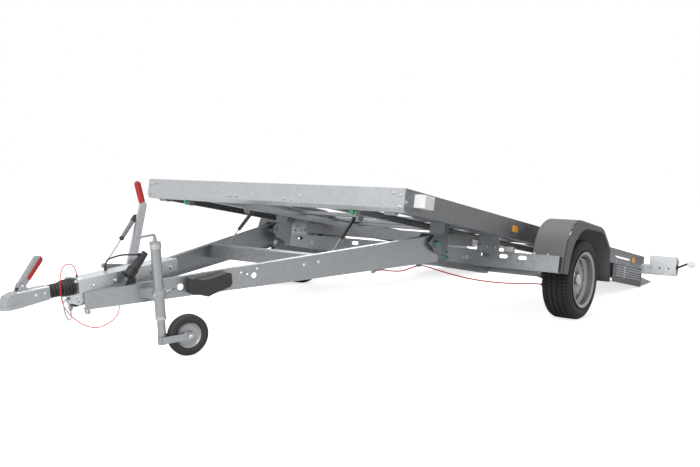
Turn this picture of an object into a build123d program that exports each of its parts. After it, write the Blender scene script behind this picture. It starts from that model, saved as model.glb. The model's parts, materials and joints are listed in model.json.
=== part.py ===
from build123d import *
import os
from math import asin, atan, cos, degrees, hypot, radians, sin, tan

os.makedirs("parts", exist_ok=True)

# Tilt car trailer in its loading position
# Every piece is drawn on the level trailer, with the drawbar folded up under the deck:
# X to the rear, Y to the right, Z up, from the middle of the axle line, in millimetres.
# Two poses then place the finished pieces. The deck tips about its wheels until the tail
# meets the ground, and the drawbar swings down about the hinge until its wheel stands there.

# Wheels
TYRE_RADIUS = 262.5
TYRE_WIDTH = 195.0
GROOVE_WIDTH = 9.0
GROOVE_DEPTH = 6.0
GROOVE_SPACING = 36.0
TYRE_GAP = 29.0
BEAD_RADIUS = 168.0
FLANGE_RADIUS = 184.0
WELL_RADIUS = 146.0
RIM_WIDTH = 188.0
RIM_GAUGE = 4.0
VENT_RADIUS = 11.0
VENT_CIRCLE = 112.0
VENT_COUNT = 10
BACKPLATE_GAUGE = 4.0
HUB_RADIUS = 36.0
DRUM_RADIUS = 104.0
DRUM_LENGTH = 52.0
STUB_RADIUS = 17.0
RUNNING_GAP = 0.06

# Deck
DECK_HALF_WIDTH = 990.0
DECK_BOTTOM = 199.0
DECK_FRONT = -1781.0
DECK_REAR = 2165.0
SHEET = 3.0
RAIL_HEIGHT = 119.0
RAIL_LIP = 45.0
PANEL_RETURN = 40.0
PANEL_CHAMFER = 16.0
SLOT_LENGTH = 385.0
SLOT_WIDTH = 12.0
SLOT_X = 1578.0
SLOT_DROP = 63.0
TRACK_TOP = 265.0
TRACK_INNER = 452.0
TRACK_GAP = 3.0
BEAM_WIDTH = 50.0
BEAM_HEIGHT = 40.0
MEMBER_WIDTH = 60.0
MEMBER_STATIONS = (-1700.0, -1402.0, -820.0, -467.0, -150.0, 420.0, 900.0, 1310.0)
GRIP_SLOT_LENGTH = 90.0
GRIP_SLOT_WIDTH = 18.0
GRIP_SLOT_PITCH = 190.0
GRIP_SLOT_ROWS = 2
GRIP_SLOT_COLUMNS = 15

# Tail
TAIL_START = 1377.0
TAIL_END = 2131.0
TAIL_DROP = 130.0
TAIL_BOTTOM = 45.0
LIP_REACH = 348.0
LIP_TIP_HEIGHT = 114.0
TAIL_BAR_HEIGHT = 60.0
TAIL_BAR_DEPTH = 60.0

# Chassis under the deck
SUPPORT_X = -502.0
SUPPORT_HALF_LENGTH = 702.0
SUPPORT_HEIGHT = 70.0
SUPPORT_WIDTH = 60.0
FENDER_BEAM_X = -467.0
FENDER_BEAM_BOTTOM = 12.0
FENDER_BEAM_HEIGHT = 103.0
FENDER_BEAM_TOP_FLANGE = 55.0
FENDER_BEAM_LOW_FLANGE = 40.0
FENDER_BEAM_SETBACK = 15.0
DIMPLE_STATIONS = (260.0, 390.0, 785.0, 915.0, 1045.0)
DIMPLE_LENGTH = 58.0
DIMPLE_HEIGHT = 24.0
BRACKET_INNER = 722.0
BRACKET_POST = 43.0
BRACKET_OUTER = 880.0
BRACKET_DEPTH = 47.0
POST_X = -855.0
POST_DEPTH = 60.0
POST_INNER = 588.0
POST_OUTER = 694.0
POST_GAUGE = 6.0
CHASSIS_RAIL_Y = 615.0
CHASSIS_RAIL_WIDTH = 60.0
CHASSIS_RAIL_HEIGHT = 40.0
AXLE_X = -150.0
AXLE_WIDTH = 70.0
AXLE_HEIGHT = 65.0
AXLE_BOTTOM = -12.0
AXLE_HALF_LENGTH = 1030.0
AXLE_WALL = 5.0
HANGER_Y = 615.0
HANGER_WIDTH = 60.0
ARM_GAUGE = 25.0
ARM_ROOT_RADIUS = 38.0
ARM_TIP_RADIUS = 32.0

# Fenders
FENDER_COVER = 8.0
FENDER_REACH = 21.0
FENDER_GAUGE = 4.0
FENDER_EDGE = 18.0
FENDER_OUTLINE = ((-372, 373), (215, 371), (382, 258), (444, 16))
FENDER_RADII = (40, 240, 150, 120)
FENDER_OPENING = ((-345, -1), (-290, 322), (205, 334), (395, 215), (424, -1))
FENDER_OPENING_RADII = (280, 150, 110)
STAY_X = 365.0
STAY_Z = 222.0
STAY_WIDTH = 34.0

# Lamps
LAMP_BRACKET_X = 2092.0
LAMP_BRACKET_REACH = 294.0
LAMP_BRACKET_BOTTOM = 165.0
LAMP_BRACKET_LOW_TOP = 251.0
LAMP_BRACKET_TOP = 331.0
LAMP_BRACKET_BOX = 224.0
LAMP_BRACKET_DEPTH = 42.0
LAMP_DEPTH = 52.0
LAMP_HOLE_START = 14.0
LAMP_HOLE_PITCH = 73.0
LAMP_HOLE_RISE = 61.0
MARKER_ARM_REACH = 86.0
MARKER_ARM_RISE = 44.0
MARKER_ARM_RADIUS = 9.0
MARKER_FOOT = 10.0
MARKER_LENS_RADIUS = 32.0
MARKER_LENS_DEPTH = 34.0
FRONT_MARKER_X = -1690.0
FRONT_MARKER_LENGTH = 95.0
FRONT_MARKER_REACH = 65.0
FRONT_MARKER_HEIGHT = 68.0
FRONT_MARKER_BOTTOM = 232.0
REFLECTOR_X = (-503.0, 1851.0)
REFLECTOR_Z = 259.0
REFLECTOR_LENGTH = 60.0
REFLECTOR_HEIGHT = 40.0
REFLECTOR_DEPTH = 8.0

# Hinge between deck and drawbar
HINGE_X = -943.0
HINGE_Z = 105.0
PIN_RADIUS = 10.0
PIN_HEAD_RADIUS = 16.0
PIN_HEAD = 10.0
BUSH_RADIUS = 22.0
HINGE_SIDE_GAP = 6.0
BAR_PITCH = 6.47

# Drawbar
BAR_TOP = 148.0
BAR_FRONT = -2957.0
BAR_REAR = -899.0
BAR_FRONT_Y = 61.0
BAR_HALF_ANGLE = 16.75
BAR_FRONT_DEPTH = 81.0
BAR_REAR_DEPTH = 166.0
BAR_FLANGE = 32.0
BAR_GAUGE = 4.0
BAR_HOLES = ((-2509.0, 99.0, 16.0), (-2117.0, 93.0, 15.0), (-2186.0, 119.0, 5.0),
             (-2154.0, 105.0, 5.0), (-2096.0, 125.0, 5.0))
CROSS_X = -1752.0
CROSS_WIDTH = 50.0
CROSS_HEIGHT = 80.0
CROSS_TOP = 144.0
HOUSING_REAR = -2400.0
HOUSING_FRONT = -2957.0
HOUSING_HALF_WIDTH = 55.0
HOUSING_HEIGHT = 60.0
HOUSING_WALL = 4.0
NOSE_PLATE = 18.0
NOSE_PLATE_HALF_WIDTH = 55.0
NOSE_PLATE_BOTTOM = 92.0
NOSE_PLATE_TOP = 216.0

# Overrun shaft and coupling head
SHAFT_Z = 175.0
SHAFT_RADIUS = 20.0
SHAFT_REAR = -2560.0
OVERRUN_TRAVEL = 80.0
GAITER_FRONT = -3100.0
GAITER_FRONT_RADIUS = 29.0
GAITER_REAR_RADIUS = 41.0
GAITER_FOLDS = 5
GAITER_WALL = 3.0
HEAD_REAR = -3104.0
HEAD_FRONT = -3324.0
HEAD_HALF_WIDTH = 30.0
HEAD_RIM = 4.0
HEAD_RIM_TOP = 158.0
HEAD_RIM_REAR = -3232.0
HEAD_BOTTOM = 138.0
HEAD_ROOF = 208.0
HEAD_NOSE_RADIUS = 27.0
BALL_X = -3268.0
BALL_Z = 156.0
BALL_RADIUS = 25.5
HANDLE_PIVOT_X = -3222.0
HANDLE_PIVOT_Z = 227.0
HANDLE_ROOT_RADIUS = 15.0
HANDLE_TIP_RADIUS = 17.0
HANDLE_WIDTH = 26.0
HANDLE_WALL = 3.0
HANDLE_EAR = 6.0
HANDLE_PIN_RADIUS = 5.0
HANDLE_TIP_X = -3132.0
HANDLE_TIP_Z = 327.0

# Jockey wheel
JOCKEY_X = -2678.0
JOCKEY_Y = -240.0
JOCKEY_OUTER_RADIUS = 24.0
JOCKEY_OUTER_BORE = 21.0
JOCKEY_INNER_RADIUS = 19.0
JOCKEY_TUBE_TOP = 345.0
JOCKEY_TUBE_BOTTOM = -18.0
JOCKEY_INNER_TOP = 150.0
JOCKEY_STROKE = 75.0
JOCKEY_WHEEL_RADIUS = 100.0
JOCKEY_WHEEL_WIDTH = 50.0
JOCKEY_TRAIL = 127.0
JOCKEY_CROWN_HEIGHT = 39.0
JOCKEY_PIN_RADIUS = 10.0
JOCKEY_PIN_REACH = 25.0
JOCKEY_SWIVEL = 20.0
JOCKEY_RIM_RADIUS = 62.0
CLAMP_Z = 105.0
CLAMP_HEIGHT = 40.0
CLAMP_SCREW_RADIUS = 6.0
CLAMP_SCREW_REACH = 78.0
CLAMP_BAR_LENGTH = 84.0
CRANK_ARM = 92.0
CRANK_RISE = 34.0
CRANK_ROD = 7.0
CRANK_COLLAR = 11.0

# Handbrake
LEVER_X = -2556.0
LEVER_Z = 190.0
LEVER_Y = 114.0
LEVER_GAUGE = 12.0
LEVER_TOP_X = -2454.0
LEVER_TOP_Z = 479.0
LEVER_ROOT_RADIUS = 28.0
LEVER_TIP_RADIUS = 20.0
LEVER_RANGE = 40.0
GRIP_TOP_X = -2479.0
GRIP_TOP_Z = 602.0
GRIP_RADIUS = 15.0
LEVER_STRUT_FOOT_X = -2701.0
LEVER_STRUT_FOOT_Z = 209.0
LEVER_STRUT_HEAD_X = -2490.0
LEVER_STRUT_HEAD_Z = 425.0
LEVER_STRUT_BODY = 140.0
LEVER_STRUT_Y = 134.0

# Gas struts between deck and drawbar
STRUT_Y = 408.0
STRUT_HEAD_X = -1402.0
STRUT_HEAD_Z = 180.0
STRUT_FOOT_X = -1640.0
STRUT_FOOT_Z = 93.0
STRUT_BODY = 160.0
STRUT_BODY_RADIUS = 11.0
STRUT_ROD_RADIUS = 4.0
STRUT_EYE_RADIUS = 11.0
STRUT_EYE_WIDTH = 14.0
STRUT_PIN_RADIUS = 5.0
ROD_OVERLAP = 30.0
STRUT_FOOT_PLAY = 7.5
LEVER_STRUT_FOOT_PLAY = 4.2
FOOT_EYE_WALL = 4.0

# Parked plug and wheel chock
PLUG_FOOT_X = -2725.0
PLUG_FOOT_Z = 185.0
PLUG_Y = -85.0
PLUG_TOP_X = -2618.0
PLUG_TOP_Z = 277.0
PLUG_RADIUS = 24.0
PLUG_NECK_RADIUS = 16.0
PLUG_OUTLET_RADIUS = 8.0
PLUG_OUTLET_LENGTH = 16.0
HOLDER_DEPTH = 34.0
HOLDER_WALL = 3.0
HOLDER_PLAY = 0.3
CHOCK_OUTLINE = ((-2480, 144), (-2480, 66), (-2444, 58), (-2400, 42), (-2376, 50), (-2284, 72), (-2272, 90),
                 (-2274, 138), (-2292, 145), (-2370, 131), (-2430, 129), (-2456, 141))
CHOCK_WIDTH = 70.0
CHOCK_WALL = 5.0

# Cables: the points of each are chosen from its real lie
CLIP_SIZE = 16.0
CLIP_RISE = 6.0
BRAKE_CABLE_DIAMETER = 8.0
BRAKE_GLAND_X = -84.0
BRAKE_CABLE_END_Y = -1037.0
BRAKE_CABLE_END_Z = -60.0
BRAKE_CABLE = ((-952, -604, -38), (-868, -604, -38), (-784, -655, -56), (-712, -730, -73), (-635, -806, -84),
               (-551, -870, -87), (-461, -926, -84), (-373, -972, -77), (-276, -1012, -68),
               (BRAKE_GLAND_X - 95, BRAKE_CABLE_END_Y, BRAKE_CABLE_END_Z),
               (BRAKE_GLAND_X, BRAKE_CABLE_END_Y, BRAKE_CABLE_END_Z))
FRONT_CABLE = ((-1356, -527, -8), (-1290, -527, -8), (-1225, -552, -28), (-1160, -590, -38),
               (-1100, -624, -23), (-1036, -624, -23))
BREAKAWAY_DIAMETER = 5.0
BREAKAWAY_CABLE = ((-2945, 0, 208), (-2945, 0, 252), (-2988, -24, 286), (-3038, -47, 289), (-3068, -61, 250),
                   (-3076, -64, 199), (-3076, -65, 148), (-3062, -63, 98), (-3032, -62, 56), (-2996, -62, 19),
                   (-2954, -66, -12), (-2906, -74, -27), (-2857, -84, -17), (-2801, -97, 16), (-2799, -97, 60.4))
PLUG_CABLE_DIAMETER = 9.0
PLUG_CABLE_LEAD = 34.0
PLUG_CABLE = ((-2712, -44, 281), (-2733, -4, 272), (-2762, 38, 254), (-2762, 38, 208))

# Values worked out from the sizes above
WHEEL_Y = AXLE_HALF_LENGTH + ARM_GAUGE + TYRE_GAP + TYRE_WIDTH / 2
FENDER_INNER = WHEEL_Y - TYRE_WIDTH / 2 - FENDER_COVER
FENDER_WIDTH = TYRE_WIDTH + FENDER_COVER + FENDER_REACH
FENDER_BEAM_HALF_LENGTH = FENDER_INNER + FENDER_WIDTH - FENDER_BEAM_SETBACK
RAIL_TOP = DECK_BOTTOM + RAIL_HEIGHT
TRACK_OUTER = DECK_HALF_WIDTH - SHEET - TRACK_GAP
TRACK_WIDTH = TRACK_OUTER - TRACK_INNER
TRACK_BASE = TRACK_TOP - SHEET
MEMBER_BASE = DECK_BOTTOM + BEAM_HEIGHT
INNER_RAIL_FACE = DECK_HALF_WIDTH - SHEET
FENDER_BEAM_TOP = FENDER_BEAM_BOTTOM + FENDER_BEAM_HEIGHT
TAIL_RUN_END = TRACK_TOP - TAIL_DROP
TILT = degrees(asin(TYRE_RADIUS / hypot(TAIL_END, TAIL_BOTTOM)) + atan(TAIL_BOTTOM / TAIL_END))
CLOSING = TILT + BAR_PITCH
BAR_SLOPE = tan(radians(BAR_HALF_ANGLE))


def bar_y(x):
    """Distance of a drawbar beam's outer face from the middle, at a place along it."""
    return BAR_FRONT_Y + BAR_SLOPE * (x - BAR_FRONT)


def turned(x, z, angle):
    """A point of the side view, turned about the hinge."""
    dx, dz = x - HINGE_X, z - HINGE_Z
    a = radians(angle)
    return (HINGE_X + dx * cos(a) + dz * sin(a), HINGE_Z - dx * sin(a) + dz * cos(a))


# The two poses, and the shift that puts the origin under the middle of the whole trailer
tip_x = (TAIL_END + LIP_REACH) * cos(radians(TILT)) + LIP_TIP_HEIGHT * sin(radians(TILT))
nose_x = (HEAD_FRONT - HINGE_X) * cos(radians(BAR_PITCH)) + HINGE_X * cos(radians(TILT))
CENTRE_SHIFT = -(tip_x + nose_x) / 2
DECK_POSE = Location((CENTRE_SHIFT, 0, TYRE_RADIUS)) * Location((0, 0, 0), (0, TILT, 0))
HINGE_TURN = (Location((HINGE_X, 0, HINGE_Z)) * Location((0, 0, 0), (0, -CLOSING, 0))
              * Location((-HINGE_X, 0, -HINGE_Z)))
BAR_POSE = DECK_POSE * HINGE_TURN


def finish(part, label, pose):
    """Place a finished piece, name it and write it."""
    placed = part.moved(pose)
    placed.label = label
    export_step(placed, f"parts/{label}.step")


def folded(points, gauge, side=Side.RIGHT):
    """Section of a sheet folded along the points, its thickness on one side of them."""
    with BuildSketch(mode=Mode.PRIVATE) as section:
        with BuildLine():
            Polyline(*points)
            offset(amount=gauge, side=side, kind=Kind.INTERSECTION)
        make_face()
    return section.sketch


def across(y):
    """Side view plane at a distance to the right, looking forward along it from the left."""
    return Plane(origin=(0, y, 0), x_dir=(1, 0, 0), z_dir=(0, -1, 0))


# Side rails: folded channels with a long lashing slot near the tail
with BuildPart() as side_rails:
    with BuildSketch(Plane.YZ.offset(DECK_FRONT + SHEET)):
        add(folded([(DECK_HALF_WIDTH - RAIL_LIP, DECK_BOTTOM), (DECK_HALF_WIDTH, DECK_BOTTOM),
                    (DECK_HALF_WIDTH, RAIL_TOP), (DECK_HALF_WIDTH - RAIL_LIP, RAIL_TOP)],
                   SHEET, Side.LEFT))
    extrude(amount=DECK_REAR - DECK_FRONT - SHEET)
    with BuildSketch(across(DECK_HALF_WIDTH)):
        with Locations((SLOT_X, RAIL_TOP - SLOT_DROP)):
            SlotOverall(SLOT_LENGTH, SLOT_WIDTH)
    extrude(amount=SHEET, mode=Mode.SUBTRACT)
    with BuildSketch(across(DECK_HALF_WIDTH)):
        with BuildLine():
            Polyline((DECK_FRONT, DECK_BOTTOM + PANEL_CHAMFER + 2 * SHEET), (DECK_FRONT, DECK_BOTTOM - SHEET),
                     (DECK_FRONT + PANEL_CHAMFER + 3 * SHEET, DECK_BOTTOM - SHEET), close=True)
        make_face()
    extrude(amount=RAIL_LIP, mode=Mode.SUBTRACT)
    with BuildSketch(Plane.XY.offset(DECK_BOTTOM)):
        with Locations((TAIL_START, DECK_HALF_WIDTH - SHEET)):
            Rectangle(DECK_REAR - TAIL_START, RAIL_LIP, align=(Align.MIN, Align.MAX))
    extrude(amount=SHEET, mode=Mode.SUBTRACT)
    mirror(about=Plane.XZ)
finish(side_rails.part, "side_rails", DECK_POSE)

# Front panel: one sheet, its foot folded back under the deck
with BuildPart() as front_panel:
    with BuildSketch(across(DECK_HALF_WIDTH)):
        add(folded([(DECK_FRONT + PANEL_RETURN, RAIL_TOP), (DECK_FRONT, RAIL_TOP),
                    (DECK_FRONT, DECK_BOTTOM + PANEL_CHAMFER),
                    (DECK_FRONT + PANEL_CHAMFER, DECK_BOTTOM - SHEET),
                    (DECK_FRONT + PANEL_RETURN, DECK_BOTTOM - SHEET)], SHEET, Side.LEFT))
    extrude(amount=2 * DECK_HALF_WIDTH)
    with BuildSketch(Plane.XY.offset(RAIL_TOP - SHEET)):
        for side in (-1, 1):
            with Locations((DECK_FRONT + SHEET, side * DECK_HALF_WIDTH)):
                Rectangle(2 * PANEL_RETURN, 2 * RAIL_LIP, align=(Align.MIN, Align.CENTER))
    extrude(amount=SHEET, mode=Mode.SUBTRACT)
finish(front_panel.part, "front_panel", DECK_POSE)

# Wheel tracks: grip plates with rows of slots
with BuildPart() as tracks:
    track_front = DECK_FRONT + PANEL_RETURN
    with BuildSketch(Plane.XY.offset(TRACK_BASE)):
        with Locations(((track_front + TAIL_START) / 2, TRACK_INNER + TRACK_WIDTH / 2)):
            Rectangle(TAIL_START - track_front, TRACK_WIDTH)
            with GridLocations(GRIP_SLOT_PITCH, TRACK_WIDTH / GRIP_SLOT_ROWS,
                               GRIP_SLOT_COLUMNS, GRIP_SLOT_ROWS):
                SlotOverall(GRIP_SLOT_LENGTH, GRIP_SLOT_WIDTH, mode=Mode.SUBTRACT)
    extrude(amount=SHEET)
    mirror(about=Plane.XZ)
finish(tracks.part, "tracks", DECK_POSE)

# Track beams: channels under the inner edges of the tracks, with the upper strut lugs
with BuildPart() as track_beams:
    with BuildSketch(Plane.YZ.offset(DECK_FRONT + PANEL_RETURN)):
        add(folded([(TRACK_INNER + BEAM_WIDTH, DECK_BOTTOM), (TRACK_INNER, DECK_BOTTOM),
                    (TRACK_INNER, MEMBER_BASE), (TRACK_INNER + BEAM_WIDTH, MEMBER_BASE)],
                   SHEET, Side.RIGHT))
    extrude(amount=TAIL_START - DECK_FRONT - PANEL_RETURN)
    with BuildSketch(across(TRACK_INNER + 2 * SHEET)):
        with BuildLine():
            Polyline((STRUT_HEAD_X - 30, DECK_BOTTOM), (STRUT_HEAD_X - 14, STRUT_HEAD_Z - 12),
                     (STRUT_HEAD_X + 14, STRUT_HEAD_Z - 12), (STRUT_HEAD_X + 30, DECK_BOTTOM),
                     close=True)
        make_face()
    extrude(amount=2 * SHEET)
    with BuildSketch(across(TRACK_INNER + SHEET)):
        with Locations((STRUT_HEAD_X, STRUT_HEAD_Z)):
            Circle(STRUT_PIN_RADIUS)
    extrude(amount=TRACK_INNER + SHEET - STRUT_Y + STRUT_EYE_WIDTH / 2 + SHEET)
    mirror(about=Plane.XZ)
finish(track_beams.part, "track_beams", DECK_POSE)

# Deck cross members: inverted channels between the rails, under the tracks
with BuildPart() as cross_members:
    for station in MEMBER_STATIONS:
        left, right = station - MEMBER_WIDTH / 2, station + MEMBER_WIDTH / 2
        with BuildSketch(across(INNER_RAIL_FACE)):
            add(folded([(left, MEMBER_BASE), (left, TRACK_BASE), (right, TRACK_BASE),
                        (right, MEMBER_BASE)], SHEET, Side.RIGHT))
        extrude(amount=2 * INNER_RAIL_FACE)
finish(cross_members.part, "deck_cross_members", DECK_POSE)

# Support beam under the deck, and the brackets that carry the fender beam
with BuildPart() as support_beam:
    bottom = DECK_BOTTOM - SUPPORT_HEIGHT
    with BuildSketch(across(SUPPORT_HALF_LENGTH)):
        add(folded([(SUPPORT_X + SUPPORT_WIDTH, bottom), (SUPPORT_X, bottom),
                    (SUPPORT_X, DECK_BOTTOM), (SUPPORT_X + SUPPORT_WIDTH, DECK_BOTTOM)],
                   SHEET, Side.RIGHT))
    extrude(amount=2 * SUPPORT_HALF_LENGTH)
finish(support_beam.part, "support_beam", DECK_POSE)

with BuildPart() as beam_brackets:
    with BuildSketch(Plane.XY.offset(FENDER_BEAM_TOP)):
        add(folded([(FENDER_BEAM_X + BRACKET_DEPTH, BRACKET_INNER), (FENDER_BEAM_X, BRACKET_INNER),
                    (FENDER_BEAM_X, BRACKET_INNER + BRACKET_POST),
                    (FENDER_BEAM_X + BRACKET_DEPTH, BRACKET_INNER + BRACKET_POST)],
                   SHEET, Side.RIGHT))
    extrude(amount=MEMBER_BASE - FENDER_BEAM_TOP)
    with BuildSketch(Plane.YZ.offset(FENDER_BEAM_X)):
        with BuildLine():
            Polyline((BRACKET_INNER + BRACKET_POST, FENDER_BEAM_TOP),
                     (BRACKET_OUTER, FENDER_BEAM_TOP), (BRACKET_OUTER, DECK_BOTTOM - 20),
                     (BRACKET_OUTER - 30, MEMBER_BASE), (BRACKET_INNER + BRACKET_POST, MEMBER_BASE),
                     close=True)
        make_face()
        with Locations((BRACKET_OUTER - 60, FENDER_BEAM_TOP + 42)):
            with GridLocations(34, 34, 2, 2):
                Circle(6, mode=Mode.SUBTRACT)
    extrude(amount=SHEET)
    with BuildSketch(Plane.YZ.offset(FENDER_BEAM_X)):
        with Locations((BRACKET_INNER + BRACKET_POST / 2, FENDER_BEAM_TOP + SUPPORT_HEIGHT / 2)):
            Circle(9)
    extrude(amount=SHEET, mode=Mode.SUBTRACT)
    mirror(about=Plane.XZ)
finish(beam_brackets.part, "beam_brackets", DECK_POSE)

# Fender beam: pressed channel across the trailer, with long dimple holes
with BuildPart() as fender_beam:
    low, high = FENDER_BEAM_BOTTOM, FENDER_BEAM_TOP
    with BuildSketch(across(FENDER_BEAM_HALF_LENGTH)):
        add(folded([(FENDER_BEAM_X + FENDER_BEAM_LOW_FLANGE, low), (FENDER_BEAM_X, low),
                    (FENDER_BEAM_X, high), (FENDER_BEAM_X + FENDER_BEAM_TOP_FLANGE, high)],
                   SHEET, Side.RIGHT))
    extrude(amount=2 * FENDER_BEAM_HALF_LENGTH)
    with BuildSketch(Plane.YZ.offset(FENDER_BEAM_X)):
        for station in DIMPLE_STATIONS:
            with Locations((station, high - 30), (-station, high - 30)):
                SlotOverall(DIMPLE_LENGTH, DIMPLE_HEIGHT)
    extrude(amount=SHEET, mode=Mode.SUBTRACT)
finish(fender_beam.part, "fender_beam", DECK_POSE)

# Hinge posts: a forked post each side, from the chassis rail to the deck, with the hinge pin
with BuildPart() as hinge_posts:
    post_rear = POST_X + POST_DEPTH
    for y in (POST_OUTER, POST_INNER + POST_GAUGE):
        with BuildSketch(across(y)):
            with BuildLine():
                Polyline((post_rear, FENDER_BEAM_BOTTOM), (post_rear, MEMBER_BASE),
                         (POST_X, MEMBER_BASE), (POST_X, HINGE_Z + 60), (HINGE_X, HINGE_Z + 55),
                         (HINGE_X - 40, HINGE_Z + 20), (HINGE_X - 40, HINGE_Z - 20),
                         (HINGE_X, HINGE_Z - 50), (POST_X, HINGE_Z - 70),
                         (POST_X, FENDER_BEAM_BOTTOM), close=True)
            make_face()
        extrude(amount=POST_GAUGE)
    with BuildSketch(Plane.YZ.offset(POST_X)):
        with Locations((POST_INNER, FENDER_BEAM_BOTTOM)):
            Rectangle(POST_OUTER - POST_INNER, MEMBER_BASE - FENDER_BEAM_BOTTOM,
                      align=(Align.MIN, Align.MIN))
    extrude(amount=POST_GAUGE)
    with BuildSketch(across(POST_OUTER + PIN_HEAD)):
        with Locations((HINGE_X, HINGE_Z)):
            Circle(PIN_RADIUS)
    extrude(amount=POST_OUTER - POST_INNER + 2 * PIN_HEAD)
    for y in (POST_OUTER + PIN_HEAD, POST_INNER):
        with BuildSketch(across(y)):
            with Locations((HINGE_X, HINGE_Z)):
                RegularPolygon(PIN_HEAD_RADIUS, 6)
        extrude(amount=PIN_HEAD)
    mirror(about=Plane.XZ)
    with BuildSketch(across(-POST_INNER)):
        with BuildLine():
            Polyline((HINGE_X - 30, HINGE_Z - 30), (HINGE_X + 30, HINGE_Z - 30),
                     (BRAKE_CABLE[0][0], BRAKE_CABLE[0][2] - CLIP_SIZE / 2),
                     (BRAKE_CABLE[0][0] - CLIP_SIZE, BRAKE_CABLE[0][2] - CLIP_SIZE / 2), close=True)
        make_face()
    extrude(amount=POST_GAUGE)
    with Locations((BRAKE_CABLE[0][0], -POST_INNER - POST_GAUGE, BRAKE_CABLE[0][2])):
        Box(CLIP_SIZE, -BRAKE_CABLE[0][1] + CLIP_SIZE / 2 - POST_INNER - POST_GAUGE, CLIP_SIZE,
            align=(Align.MAX, Align.MAX, Align.CENTER))
finish(hinge_posts.part, "hinge_posts", DECK_POSE)

# Chassis rails from the hinge posts back to the axle
with BuildPart() as chassis_rails:
    low = FENDER_BEAM_BOTTOM - CHASSIS_RAIL_HEIGHT
    outer = CHASSIS_RAIL_Y + CHASSIS_RAIL_WIDTH
    with BuildSketch(Plane.YZ.offset(POST_X)):
        add(folded([(CHASSIS_RAIL_Y, low), (outer, low), (outer, FENDER_BEAM_BOTTOM),
                    (CHASSIS_RAIL_Y, FENDER_BEAM_BOTTOM)], SHEET + 1, Side.LEFT))
    extrude(amount=AXLE_X - AXLE_WIDTH / 2 - POST_X)
    mirror(about=Plane.XZ)
finish(chassis_rails.part, "chassis_rails", DECK_POSE)

# Axle: square tube, with a hanger each side up to the deck
with BuildPart() as axle:
    with BuildSketch(across(AXLE_HALF_LENGTH)):
        with Locations((AXLE_X, AXLE_BOTTOM + AXLE_HEIGHT / 2)):
            RectangleRounded(AXLE_WIDTH, AXLE_HEIGHT, 10)
            RectangleRounded(AXLE_WIDTH - 2 * AXLE_WALL, AXLE_HEIGHT - 2 * AXLE_WALL, 5,
                             mode=Mode.SUBTRACT)
    extrude(amount=2 * AXLE_HALF_LENGTH)
finish(axle.part, "axle", DECK_POSE)

with BuildPart() as axle_hangers:
    with BuildSketch(Plane.XY.offset(AXLE_BOTTOM + AXLE_HEIGHT)):
        with Locations((AXLE_X, HANGER_Y + HANGER_WIDTH / 2)):
            Rectangle(AXLE_WIDTH - 10, HANGER_WIDTH)
            Rectangle(AXLE_WIDTH - 18, HANGER_WIDTH - 8, mode=Mode.SUBTRACT)
    extrude(amount=MEMBER_BASE - AXLE_BOTTOM - AXLE_HEIGHT)
    mirror(about=Plane.XZ)
finish(axle_hangers.part, "axle_hangers", DECK_POSE)

# Swing arms: trailing arms on the ends of the axle, each with its stub axle
with BuildPart() as swing_arms:
    with BuildSketch(across(AXLE_HALF_LENGTH + ARM_GAUGE)):
        with Locations((AXLE_X, AXLE_BOTTOM + AXLE_HEIGHT / 2)):
            Circle(ARM_ROOT_RADIUS)
        Circle(ARM_TIP_RADIUS)
        make_hull()
    extrude(amount=ARM_GAUGE)
    with BuildSketch(across(WHEEL_Y + 24)):
        Circle(STUB_RADIUS)
    extrude(amount=WHEEL_Y + 24 - AXLE_HALF_LENGTH - ARM_GAUGE)
    with BuildSketch(across(AXLE_HALF_LENGTH + ARM_GAUGE + BACKPLATE_GAUGE)):
        Circle(DRUM_RADIUS)
    extrude(amount=BACKPLATE_GAUGE)
    mirror(about=Plane.XZ)
    with Locations((BRAKE_GLAND_X, -AXLE_HALF_LENGTH - ARM_GAUGE, BRAKE_CABLE_END_Z)):
        Box(CLIP_SIZE, 2 * (AXLE_HALF_LENGTH + ARM_GAUGE + BRAKE_CABLE_END_Y), 1.5 * CLIP_SIZE,
            align=(Align.MIN, Align.MIN, Align.CENTER))
finish(swing_arms.part, "swing_arms", DECK_POSE)


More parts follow.
